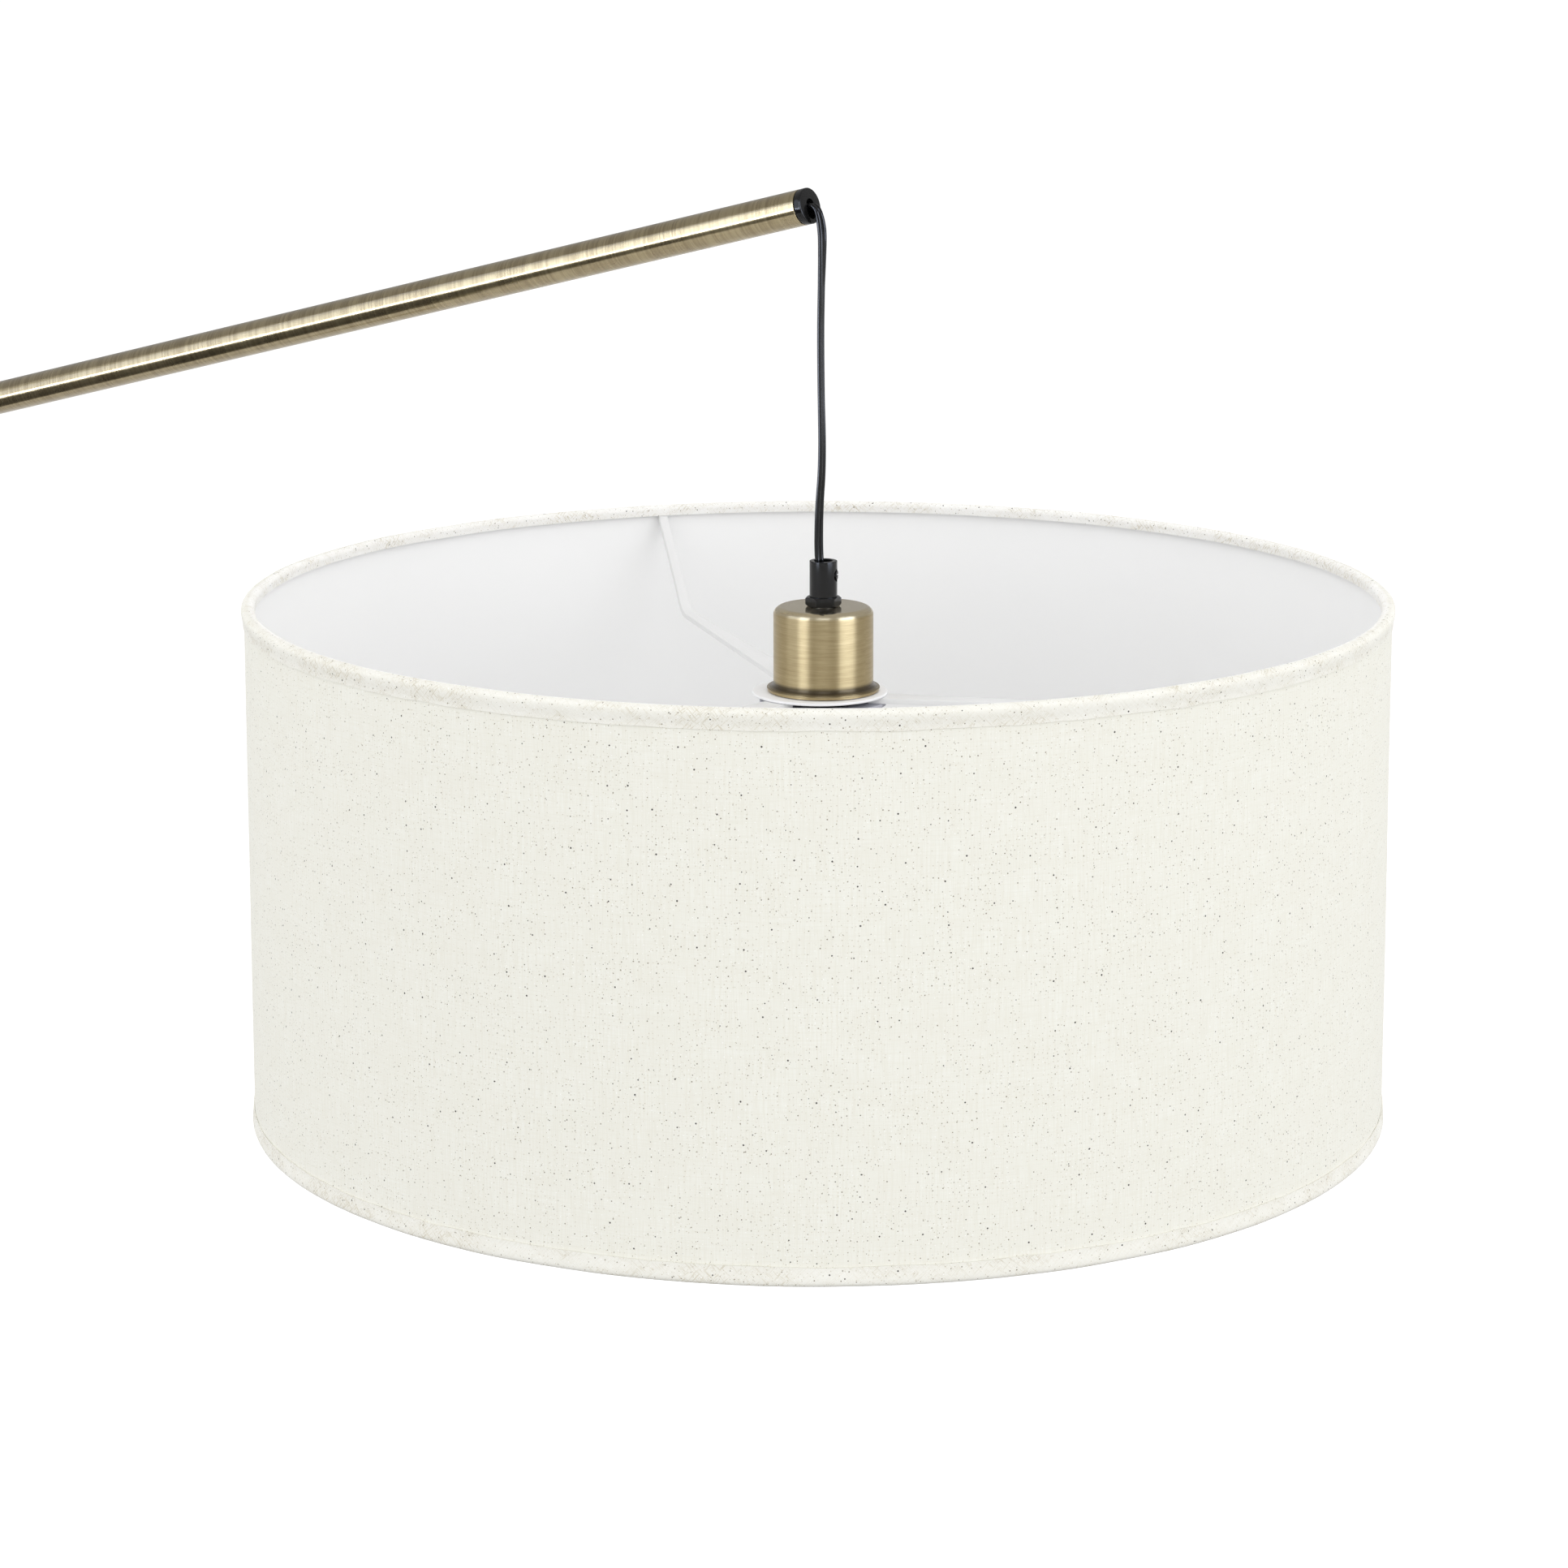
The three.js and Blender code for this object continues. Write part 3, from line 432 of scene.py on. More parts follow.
class Shader:
    """A node material being built: sockets are linked, and plain values are set on the nodes' own sockets."""

    def __init__(self, name):
        self.material = bpy.data.materials.new(name)
        self.material.use_nodes = True
        self.tree = self.material.node_tree
        self.surface = self.tree.nodes["Principled BSDF"]

    def add(self, kind, inputs=None, output=0, **settings):
        made = self.tree.nodes.new("ShaderNode" + kind)
        for name, value in settings.items():
            setattr(made, name, value)
        for name, value in (inputs or {}).items():
            self.set(made.inputs[name], value)
        return made.outputs[output]

    def set(self, socket, value):
        if isinstance(value, bpy.types.NodeSocket):
            self.tree.links.new(value, socket)
        else:
            socket.default_value = value

    def finish(self, **inputs):
        for name, value in inputs.items():
            self.set(self.surface.inputs[name.replace("_", " ")], value)
        return self.material

    def uv(self, scale=(1, 1, 1), degrees=0):
        start = self.add("UVMap", uv_map="UVMap")
        return self.mapping(start, scale, degrees)

    def solid(self, scale=(1, 1, 1)):
        return self.mapping(self.add("TexCoord", output="Object"), scale)

    def mapping(self, start, scale, degrees=0):
        turned = (0, 0, math.radians(degrees))
        if degrees:
            start = self.add("Mapping", {"Vector": start, "Rotation": turned})
        return self.add("Mapping", {"Vector": start, "Scale": scale})

    def noise(self, vector, scale, detail, roughness=0.55):
        inputs = {"Vector": vector, "Scale": scale, "Detail": detail, "Roughness": roughness}
        return self.add("TexNoise", inputs)

    def ramp(self, value, low, high, to_low=0.0, to_high=1.0):
        inputs = {"Value": value, "From Min": low, "From Max": high, "To Min": to_low, "To Max": to_high}
        return self.add("MapRange", inputs)

    def mix(self, share, first, second):
        made = self.tree.nodes.new("ShaderNodeMix")
        made.data_type = "RGBA"
        sockets = {socket.identifier: socket for socket in made.inputs}
        for name, value in (("Factor_Float", share), ("A_Color", first), ("B_Color", second)):
            self.set(sockets[name], value)
        return next(s for s in made.outputs if s.identifier == "Result_Color")

    def maths(self, operation, first, second=0.0):
        return self.add("Math", {0: first, 1: second}, operation=operation)

    def bump(self, height, distance, strength):
        return self.add("Bump", {"Height": height, "Distance": distance, "Strength": strength})

    def turned(self, light, dark, roughness, anisotropy, length, lacquer, grain, band, spread):
        """Metal brushed round its axis, on the lathe's UV map.

        length is about how far one line runs; grain and band are the counts of fine and broad lines in a
        metre; spread is how far the lines' tone goes before it stops at light or dark.
        """
        fine = self.noise(self.uv((1 / length, grain, 1)), 1.0, 3, 0.7)
        coarse = self.noise(self.uv((1 / length, band, 1)), 1.0, 4, 0.75)
        cloud = self.noise(self.solid(), 30.0, 3)
        fine, coarse = self.maths("MULTIPLY", fine, 0.55), self.maths("MULTIPLY", coarse, 0.45)
        lines = self.maths("ADD", fine, coarse)
        tone = self.maths("ADD", lines, self.maths("MULTIPLY", cloud, 0.2))
        share = self.ramp(tone, 0.6 - spread, 0.6 + spread)
        uneven = self.ramp(cloud, 0.3, 0.7, -0.02, 0.03)
        self.finish(
            Base_Color=self.mix(share, dark, light),
            Metallic=1.0,
            Roughness=self.maths("ADD", uneven, roughness),
            Anisotropic=anisotropy,
            Anisotropic_Rotation=0.25,
            Tangent=self.add("Tangent", direction_type="UV_MAP", uv_map="UVMap"),
            Coat_Weight=lacquer,
            Coat_Roughness=0.05,
            Normal=self.bump(lines, 0.000001, 0.4),
        )


def colour(red, green, blue):
    return (red, green, blue, 1)


def grey(value):
    return colour(value, value, value)


def turned_metal(name, light, dark, roughness, anisotropy, length):
    """Lacquered metal brushed round its axis."""
    s = Shader(name)
    s.turned(light, dark, roughness, anisotropy, length, 0.9, 750, 150, 0.07)
    return s.material


def cup_metal(name, light, dark):
    """The cup's brass: polished on top, brushed down its side, with a painted highlight round its shoulder and
    painted shade in the groove above its lip.
    """
    s = Shader(name)
    height = s.add("SeparateXYZ", {"Vector": s.solid()}, output="Z")
    side = s.ramp(height, -6.2 * MM, -8.4 * MM)
    # painted highlight: a lighter band round the cup's shoulder
    painted_shoulder_highlight = s.ramp(height, -8.6 * MM, -7.4 * MM, 0.0, 0.6)
    # painted shade: a dark band in the groove above the lip
    above_groove = s.maths("ABSOLUTE", s.maths("ADD", height, 40.6 * MM))
    groove = s.ramp(above_groove, 0.6 * MM, 2.2 * MM, 0.85, 0.0)
    light = s.mix(painted_shoulder_highlight, light, colour(0.86, 0.77, 0.56))
    dark = s.mix(painted_shoulder_highlight, dark, colour(0.74, 0.64, 0.44))
    light = s.mix(groove, light, colour(0.06, 0.045, 0.03))
    dark = s.mix(groove, dark, colour(0.04, 0.03, 0.02))
    s.turned(light, dark, s.ramp(side, 0.0, 1.0, 0.13, 0.40), 0.93, 0.026, 0.1, 3400, 500, 0.2)
    return s.material


def plain_metal(name, light, dark, roughness, grain=60.0, depth=0.00004):
    s = Shader(name)
    cloud = s.noise(s.solid(), grain, 5)
    fine = s.noise(s.solid(), grain * 25, 3)
    return s.finish(
        Base_Color=s.mix(s.ramp(cloud, 0.35, 0.65), dark, light),
        Metallic=1.0,
        Roughness=s.ramp(fine, 0.3, 0.7, roughness - 0.06, roughness + 0.08),
        Normal=s.bump(fine, depth, 0.5),
    )


def moulded(name, light, dark, roughness, depth=0.000004, grain=2200.0, specular=0.5):
    """Plastic, paint or rubber: a fine grain, and a slow change of tone and gloss."""
    s = Shader(name)
    cloud = s.noise(s.solid(), 45.0, 3)
    fine = s.noise(s.solid(), grain, 3)
    return s.finish(
        Base_Color=s.mix(s.ramp(cloud, 0.3, 0.7), dark, light),
        Roughness=s.ramp(cloud, 0.3, 0.7, roughness - 0.04, roughness + 0.05),
        Normal=s.bump(fine, depth, 0.6),
        Specular_IOR_Level=specular,
    )


# Each kind of fleck or glint: its cell and its size in metres, how many cells have one, its seed, strength and
# tone.
FLECKS_AND_GLINTS = [
    # The first kind, white dots, is painted highlights on the yarn; the others are dark flecks in the cloth.
    (0.0030, 0.00024, 0.5, 17.9, 0.7, colour(0.97, 0.97, 0.95)),
    (0.0021, 0.00025, 0.65, 3.1, 0.55, colour(0.42, 0.36, 0.24)),
    (0.0040, 0.00030, 0.65, 7.7, 0.9, colour(0.2, 0.165, 0.11)),
    (0.0090, 0.00040, 0.45, 11.3, 0.95, colour(0.035, 0.028, 0.022)),
]


def flecks(s, cell, size, keep, seed):
    """A mask of small round flecks: one in a share (keep) of a pattern's cells, each of its own size."""
    spread = s.add("Mapping", {"Vector": s.uv(), "Location": (seed, seed * 0.37, 0)})
    texture = s.tree.nodes.new("ShaderNodeTexVoronoi")
    texture.voronoi_dimensions = "2D"
    s.set(texture.inputs["Vector"], spread)
    s.set(texture.inputs["Scale"], 1 / cell)
    parts = s.tree.nodes.new("ShaderNodeSeparateColor")
    s.tree.links.new(texture.outputs["Color"], parts.inputs[0])
    reach = s.ramp(parts.outputs[1], 0.0, 1.0, 0.4 * size / cell, size / cell)
    near = s.maths("LESS_THAN", texture.outputs["Distance"], reach)
    crowd = s.ramp(s.noise(s.uv(), 60.0, 2), 0.3, 0.7, 0.3 * keep, 1.7 * keep)
    return s.maths("MULTIPLY", near, s.maths("LESS_THAN", parts.outputs[0], crowd))


def linen(name, degrees, light, beige, fine, run, patches, inside=None):
    """An off-white plain weave with slubs, small dark flecks and white dots of painted highlight.

    degrees turns the weave; fine and run are the counts of yarns across and along a metre; patches is how
    strongly the beige slubs show; inside is a lighter tone, painted light, for the side that faces the shade's
    axis.
    """
    s = Shader(name)
    # painted light: the tape's inside face is lighter than its outside
    if inside:
        radius = s.add("VectorMath", {0: s.solid((1, 1, 0))}, output="Value", operation="LENGTH")
        outside = s.ramp(radius, SHADE_RADIUS - 3.5 * MM, SHADE_RADIUS - 2 * MM)
        light = s.mix(outside, inside, light)
    up = s.noise(s.uv((fine, run, 1), degrees), 1.0, 3, 0.6)
    across = s.noise(s.uv((run, fine, 1), degrees), 1.0, 3, 0.6)
    weave = s.maths("ADD", s.maths("MULTIPLY", up, 0.6), s.maths("MULTIPLY", across, 0.4))
    cloth = s.mix(s.ramp(weave, 0.42, 0.60, 0.21, 0.0), light, beige)
    slub = s.maths("MAXIMUM", up, across)
    patch = s.ramp(s.noise(s.uv((45, 90, 1)), 1.0, 3), 0.42, 0.62, 0.15 * patches, patches)
    cloth = s.mix(s.maths("MULTIPLY", s.ramp(slub, 0.52, 0.62), patch), cloth, beige)
    cloth = s.mix(s.ramp(s.noise(s.uv(), 24.0, 3), 0.4, 0.7, 0.0, 0.02), cloth, beige)
    for cell, size, keep, seed, strength, tone in FLECKS_AND_GLINTS:
        mask = flecks(s, cell, size, keep, seed)
        cloth = s.mix(s.maths("MULTIPLY", mask, strength), cloth, tone)
    return s.finish(
        Base_Color=cloth,
        Roughness=0.92,
        Sheen_Weight=0.08,
        Sheen_Roughness=0.5,
        Normal=s.bump(weave, 0.00012, 0.5),
    )


def styrene(name):
    s = Shader(name)
    cloud = s.noise(s.uv(), 12.0, 3)
    grain = s.noise(s.uv(), 900.0, 3)
    return s.finish(
        Base_Color=s.mix(s.ramp(cloud, 0.3, 0.7), colour(0.955, 0.955, 0.952), colour(0.965, 0.965, 0.962)),
        Roughness=0.6,
        Specular_IOR_Level=0.3,
        Normal=s.bump(grain, 0.00003, 0.3),
    )


def rough_iron(name):
    s = Shader(name)
    lumps = s.noise(s.solid(), 240.0, 6, 0.65)
    return s.finish(
        Base_Color=s.mix(lumps, colour(0.02, 0.02, 0.021), colour(0.07, 0.07, 0.072)),
        Metallic=0.4,
        Roughness=s.ramp(lumps, 0.3, 0.7, 0.55, 0.85),
        Normal=s.bump(lumps, 0.0006, 0.8),
    )


BRASS_LIGHT = colour(0.46, 0.375, 0.215)
BRASS_DARK = colour(0.32, 0.25, 0.135)
CUP_LIGHT = colour(0.60, 0.485, 0.275)
CUP_DARK = colour(0.36, 0.27, 0.13)
CLOTH_LIGHT = colour(0.83, 0.828, 0.765)
CLOTH_BEIGE = colour(0.60, 0.55, 0.41)
# The tape is the cover's cloth, set lighter than CLOTH_LIGHT as painted light for its shaded back.
TAPE_PAINTED_LIGHT_TONE = colour(0.87, 0.868, 0.82)
TAPE_BEIGE = colour(0.50, 0.44, 0.30)
# painted light: the lighter tone of the tape's inside face
TAPE_INSIDE_PAINTED_LIGHT = colour(0.96, 0.96, 0.95)
PAINT_LIGHT = colour(0.93, 0.93, 0.94)
PAINT_DARK = colour(0.91, 0.91, 0.92)
# The spider arms are the disc's white paint made darker: painted shade, since their tops catch more light from
# above.
ARM_SHADED_LIGHT = colour(0.80, 0.80, 0.797)
ARM_SHADED_DARK = colour(0.785, 0.785, 0.782)
BRIGHT_LIGHT = colour(0.74, 0.56, 0.27)
BRIGHT_DARK = colour(0.6, 0.45, 0.2)
PVC_BLACK = colour(0.004, 0.004, 0.0045)

FINISH = {
    "antique_brass": turned_metal("antique_brass", BRASS_LIGHT, BRASS_DARK, 0.27, 0.9, 0.05),
    "bright_brass": turned_metal("bright_brass", BRIGHT_LIGHT, BRIGHT_DARK, 0.22, 0.8, 0.03),
    "steel": plain_metal("steel", colour(0.58, 0.58, 0.57), grey(0.46), 0.34),
    "cast_iron": rough_iron("cast_iron"),
    "black_plastic": moulded("black_plastic", grey(0.008), grey(0.006), 0.17, specular=0.33),
    "black_pvc": moulded("black_pvc", PVC_BLACK, grey(0.003), 0.16, 0.000001, specular=0.35),
    "rubber": moulded("rubber", grey(0.022), grey(0.014), 0.72, 0.00006, 900.0),
    "nylon": moulded("nylon", colour(0.80, 0.78, 0.71), colour(0.74, 0.71, 0.63), 0.5),
    "white_metal": moulded("white_metal", PAINT_LIGHT, PAINT_DARK, 0.4, 0.000008, 1400),
    "white_plastic": moulded("white_plastic", grey(0.87), colour(0.83, 0.83, 0.84), 0.38),
    "opal": moulded("opal", colour(0.92, 0.91, 0.88), colour(0.90, 0.89, 0.86), 0.34, specular=0.3),
    "styrene": styrene("styrene"),
    "linen": linen("linen", 0, CLOTH_LIGHT, CLOTH_BEIGE, 1250, 60, 0.14),
    "bias_tape": linen("bias_tape", 45, TAPE_PAINTED_LIGHT_TONE, TAPE_BEIGE, 1500, 160, 0.6, TAPE_INSIDE_PAINTED_LIGHT),
}
ARM_SHADED_PAINT = moulded("arm_shaded_paint", ARM_SHADED_LIGHT, ARM_SHADED_DARK, 0.5, 0.000008, 1400)
# The shade ring is white plastic, given a grey-violet tone as painted shade from the disc above it.
RING_PAINTED_SHADE = moulded("ring_painted_shade", colour(0.5, 0.5, 0.56), colour(0.46, 0.46, 0.52), 0.5)
SCREW_BLACK = moulded("screw_black", grey(0.002), grey(0.0015), 0.3, specular=0.15)
CAST_BRASS = plain_metal("cast_brass", BRASS_LIGHT, BRASS_DARK, 0.42, 40.0, 0.00001)
CUP_BRASS = cup_metal("cup_brass", CUP_LIGHT, CUP_DARK)

flex.data.materials.append(FINISH["black_pvc"])

# -------- pieces turned again from their CAD outlines

TURNED = [
    (ON_FLOOR, 0.4, ["base_washer", "pole_stud", "pole_plug"]),
    (ON_FLOOR, 0.5, ["lower_pole", "pole_joiner", "upper_pole", "pole_top_bush", "pole_collar"]),
    (ON_FLOOR, 0.8, ["base_pad"]),
    (AT_BUTTON, 0.8, ["foot_button"]),
    (ALONG_GLAND, 0.6, ["cord_gland"]),
    (AT_HEAD, 0.3, ["swivel_washer"]),
    (ALONG_BOLT, 0.3, ["friction_washer_left", "friction_washer_right", "knob_washer"]),
    (ALONG_BOLT, 0.8, ["pivot_bolt"]),
    (ALONG_BOOM, 0.25, ["boom_tube", "tail_tube", "tail_cap"]),
    (AT_HOLDER, 0.4, ["lampholder", "screw_shell", "grip_nipple", "bulb_cap", "bulb_housing", "bulb_globe"]),
]


def make_turned():
    for place, size, nodes in TURNED:
        for node in nodes:
            outline = soften(cad_outline(node, place), size * MM)
            add_piece(node + "_turned", lathe(outline), place, node)


# -------- base, head and hub


def make_base_cover():
    """The spun cover, with its holes for the foot button and the gland."""
    low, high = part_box("base_cover")
    radius, top, sheet, shoulder = high.x, high.z, 1.4 * MM, 7 * MM
    bore = 6.6 * MM
    outline = [
        (bore, top),
        *arc(radius - shoulder, top - shoulder, shoulder, 90, 0, 10),
        *arc(radius - sheet / 2, low.z + sheet / 2, sheet / 2, 0, -180, 6),
        *arc(radius - shoulder, top - shoulder, shoulder - sheet, 0, 90, 10),
        (bore, top - sheet),
    ]
    button = middle("foot_button")
    button_hole = moved(rod(12.5 * MM, 0, 2 * top), Matrix.Translation((button.x, button.y, 0)))
    gland_hole = moved(rod(5.4 * MM, -radius - 0.005, -radius + 0.01), ALONG_GLAND)
    cover = cut(lathe(outline, 192), button_hole, gland_hole)
    add_piece("base_cover_spun", cover, ON_FLOOR, "base_cover")


CHEEK_IN, CHEEK_OUT, CHEEK_RADIUS = 13.8 * MM, 19.8 * MM, 19 * MM
BOLT_HOLE = 4.3 * MM
TUBE_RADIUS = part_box("boom_tube")[1].y
TUBE_HOLE = TUBE_RADIUS + 0.3 * MM
YOKE_FLOOR, YOKE_UNDERSIDE, NECK_BOTTOM, STEM_BOTTOM = -30 * MM, -40 * MM, -50 * MM, -100 * MM


def make_yoke():
    """Two round-topped cheeks on a short neck, and the hollow stem below."""
    top = arc(0, 0, CHEEK_RADIUS, 0, 180, 48)
    outline = [(-CHEEK_RADIUS, YOKE_UNDERSIDE), (CHEEK_RADIUS, YOKE_UNDERSIDE), *top]
    slab = moved(prism(outline, -CHEEK_OUT, CHEEK_OUT), turn(90, "X"))
    slot = block((-0.03, 0.03), (-CHEEK_IN, CHEEK_IN), (YOKE_FLOOR, 0.03))
    neck = (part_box("pole_top_bush")[1].x, 16 * MM)
    shaft = [
        (0, STEM_BOTTOM),
        (5.9 * MM, STEM_BOTTOM),
        (5.9 * MM, NECK_BOTTOM),
        (neck[0], NECK_BOTTOM),
        (neck[0], YOKE_UNDERSIDE - 3 * MM),
        (neck[1], YOKE_UNDERSIDE),
        (neck[1], YOKE_UNDERSIDE + 2 * MM),
        (0, YOKE_UNDERSIDE + 2 * MM),
    ]
    body = join(slab, lathe(shaft, 64, closed=False))
    bolt_way = moved(rod(BOLT_HOLE, -0.03, 0.03), turn(-90, "X"))
    wire_way = rod(4.2 * MM, STEM_BOTTOM - 0.005, 0)
    body = cut(body, slot, bolt_way, wire_way)
    yoke = add_piece("swivel_yoke_cast", body, AT_HEAD, "swivel_yoke", CAST_BRASS)
    add_bevel(yoke, 0.7 * MM)


def make_hub():
    """The pivot barrel with a socket on each side, and the slot that the cable comes in by."""
    barrel, half, socket, reach, start = 20 * MM, 12 * MM, 12 * MM, 44 * MM, 24 * MM
    across = turn(-90, "X")
    along = turn(90, "Y")
    drum = [(0, -half), (barrel, -half), (barrel, half), (0, half)]
    drum = moved(lathe(soften(drum, 1 * MM), 96), across)
    arms = [(0, -reach), (socket, -reach), (socket, reach), (0, reach)]
    arms = moved(lathe(soften(arms, 1 * MM), 96), along)
    tools = [
        moved(rod(BOLT_HOLE, -0.03, 0.03), across),
        moved(rod(TUBE_HOLE, start, reach + 0.01), along),
        moved(rod(TUBE_HOLE, -reach - 0.01, -start), along),
        moved(rod(5 * MM, 3 * MM, start + 0.001), along),
        block((-5 * MM, 14 * MM), (-5 * MM, 5 * MM), (-barrel - 0.001, -3 * MM)),
        moved(rod(2.3 * MM, 6 * MM, 14 * MM, 24), Matrix.Translation((reach - 8 * MM, 0, 0))),
        moved(rod(2.3 * MM, 6 * MM, 14 * MM, 24), Matrix.Translation((8 * MM - reach, 0, 0))),
    ]
    add_piece("boom_hub_cast", cut(join(drum, arms), *tools), AT_HUB, "boom_hub", CAST_BRASS)


def make_knob():
    """The lobed hand knob: a turned body whose rim swells into lobes, with a finger dish in its end."""
    lobes = 8
    outline = [(0, -40.5), (9, -40.5), (12, -42), (17.6, -42), (18.5, -41), (18.5, -26), (17.6, -25)]
    outline += [(9.5, -25), (9, -24.5), (9, -21.6), (4.3, -21.6), (4.3, -38), (0, -38)]
    outline = soften([(r * MM, h * MM) for r, h in outline], 0.9 * MM)

    def lobed(angle, radius, height):
        share = min(1.0, max(0.0, (radius - 11 * MM) / (6 * MM)))
        return radius - share * 1.5 * MM * (1 - math.cos(lobes * angle)), height

    add_piece("tilt_knob_lobed", lathe(outline, 192, shift=lobed), ALONG_BOLT, "tilt_knob")


def make_counterweight():
    low, high = -345 * MM, -235 * MM
    radius, edge, bore = 28 * MM, 3 * MM, TUBE_HOLE
    groove = 0.6 * MM
    grooves = []
    for height in (low + 9 * MM, high - 9 * MM):
        for r, h in ((0, -groove), (-groove, -groove / 2), (-groove, groove / 2), (0, groove)):
            grooves.append((radius + r, height + h))
    outline = [(bore, low), (radius - edge, low), (radius, low + edge), *grooves]
    outline += [(radius, high - edge), (radius - edge, high), (bore, high)]
    screw_place = Matrix.Translation((0, 0, (low + high) / 2)) @ turn(90, "Y")
    screw_hole = moved(rod(3.3 * MM, 5 * MM, 30 * MM), screw_place)
    weight = cut(lathe(soften(outline, 0.5 * MM), 128), screw_hole)
    add_piece("counterweight_turned", weight, ALONG_BOOM, "counterweight")


# -------- boom tip and cables


def make_end_cap():
    """The black cap in the boom's tip: a flange and a plug, with the round-ended slot through the flange."""
    plug, bore = 6.5 * MM, 5.2 * MM
    face, flange, depth = BOOM_LENGTH, BOOM_LENGTH - 3.5 * MM, BOOM_LENGTH - 16 * MM
    outline = [(0, flange), (bore, flange), (bore, depth), (plug, depth), (plug, flange)]
    outline += [(TUBE_RADIUS, flange), (TUBE_RADIUS, face), (0, face)]
    half, top, bottom = 3 * MM, -3.2 * MM, 6 * MM  # local +X points down at the tip
    slot = [*arc(bottom - half, 0, half, -90, 90, 16), *arc(top + half, 0, half, 90, 270, 16)]
    cap = cut(lathe(soften(outline, 0.6 * MM), 96), prism(slot, flange - 0.002, face + 0.002))
    add_piece("end_cap_moulded", cap, ALONG_BOOM, "end_cap")


def make_cables():
    """The twin cable inside the boom, and the short length from the pole's cable up into the head."""
    bend = [(1, -17), (1, -12), (4, -7), (11, -3), (20, -0.8), (30, 0), (36, 0)]
    route = [(x * MM, z * MM) for x, z in bend] + [(BOOM_LENGTH / 2, 0), (BOOM_LENGTH - 0.8 * MM, 0)]
    line = smooth_line([Vector((x, 0, z)) for x, z in route], 0.004)
    level = Vector((0, 1, 0))
    add_piece("boom_cable_twin", tube(line, twin_section(), level), AT_HUB, "boom_cable")

    start, end = Vector((0, 0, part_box("pole_cable")[1].z)), AT_HUB @ line[0]
    up = end - start
    bow = [start + up * 0.3 + Vector((1.2 * MM, 0, 0)), start + up * 0.7 + Vector((0.8 * MM, 0, 0))]
    cable = tube(smooth_line([start, *bow, end], 0.001), round_section(1.8 * MM), level)
    link = new_object("head_cable", cable)
    link.data.materials.append(FINISH["black_pvc"])
    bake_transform(link)


def make_switch_spring():
    """The return spring: a wire coil from its foot in the base up to its top."""
    low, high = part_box("switch_spring")
    wire, turns = 0.6 * MM, 3
    radius = (high.x - low.x) / 2 - wire
    foot, top = middle("switch_spring"), middle("switch_spring")
    foot.z, top.z = low.z, high.z
    line = []
    for share in np.linspace(0, 1, 32 * turns + 1):
        height = low.z + wire + (high.z - low.z - 2 * wire) * share
        line.append(bearing(360 * turns * share) * radius + Vector((foot.x, foot.y, height)))
    coil = tube(line, round_section(wire, 10), Vector((0, 0, 1)))
    made = new_object("switch_spring_coil", coil)
    made.data.materials.append(FINISH["steel"])
    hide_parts("switch_spring")
    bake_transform(made)


# -------- lampholder


def make_cord_grip():
    """The black grip: a round, open body on a chamfered hexagon, with the side hole for its screw."""
    top, hex_low, hex_high = GRIP_MOUTH.z - RIM_Z, -5.4 * MM, -1.4 * MM
    outer, bore, neck_bore, corner = 6.2 * MM, 3.9 * MM, 5.25 * MM, 8.08 * MM
    mouth, hollow = 4.2 * MM, 4.9 * MM
    body = [(hollow, -1.6 * MM), (outer, -1.6 * MM), (outer, top), (mouth, top)]
    body += [(mouth, top - 1.5 * MM), (hollow, top - 2.5 * MM)]
    flat_hexagon = moved(prism(round_section(corner, 6), hex_low, hex_high), turn(-20.7, "Z"))
    chamfers = [(0, hex_low), (corner - 0.8 * MM, hex_low), (corner, hex_low + 0.7 * MM)]
    chamfers += [(corner, hex_high - 0.7 * MM), (corner - 0.9 * MM, hex_high), (0, hex_high)]
    hexagon = combine(flat_hexagon, lathe(chamfers, 64, closed=False), "INTERSECT")
    neck_way, cable_way = rod(neck_bore, hex_low - MM, hex_high - MM), rod(bore, hex_low - MM, hex_high + MM)
    hexagon = cut(hexagon, neck_way, cable_way)
    screw_hole = moved(rod(2.9 * MM, 2 * MM, 9 * MM), side_place())
    grip = cut(join(lathe(soften(body, 0.35 * MM), 96), hexagon), screw_hole)
    add_piece("cord_grip_moulded", grip, AT_HOLDER, "cord_grip")


def side_place():
    """The axis of the grip's side screw, in the holder's own place."""
    return Matrix.Translation((0, 0, 8.4 * MM)) @ turn(21, "Z") @ turn(90, "Y")


def make_grip_screw():
    """The black screw in the grip's side, with a slot across its head."""
    radius, tip, head = 2.2 * MM, 3.95 * MM, 6.35 * MM
    outline = soften([(0, tip), (radius, tip), (radius, head), (0, head)], 0.3 * MM)
    slot = block((-0.35 * MM, 0.35 * MM), (-3 * MM, 3 * MM), (5.5 * MM, 7 * MM))
    screw = cut(lathe(outline, 48), slot)
    add_piece("grip_screw_slotted", screw, AT_HOLDER @ side_place(), "grip_screw", SCREW_BLACK)


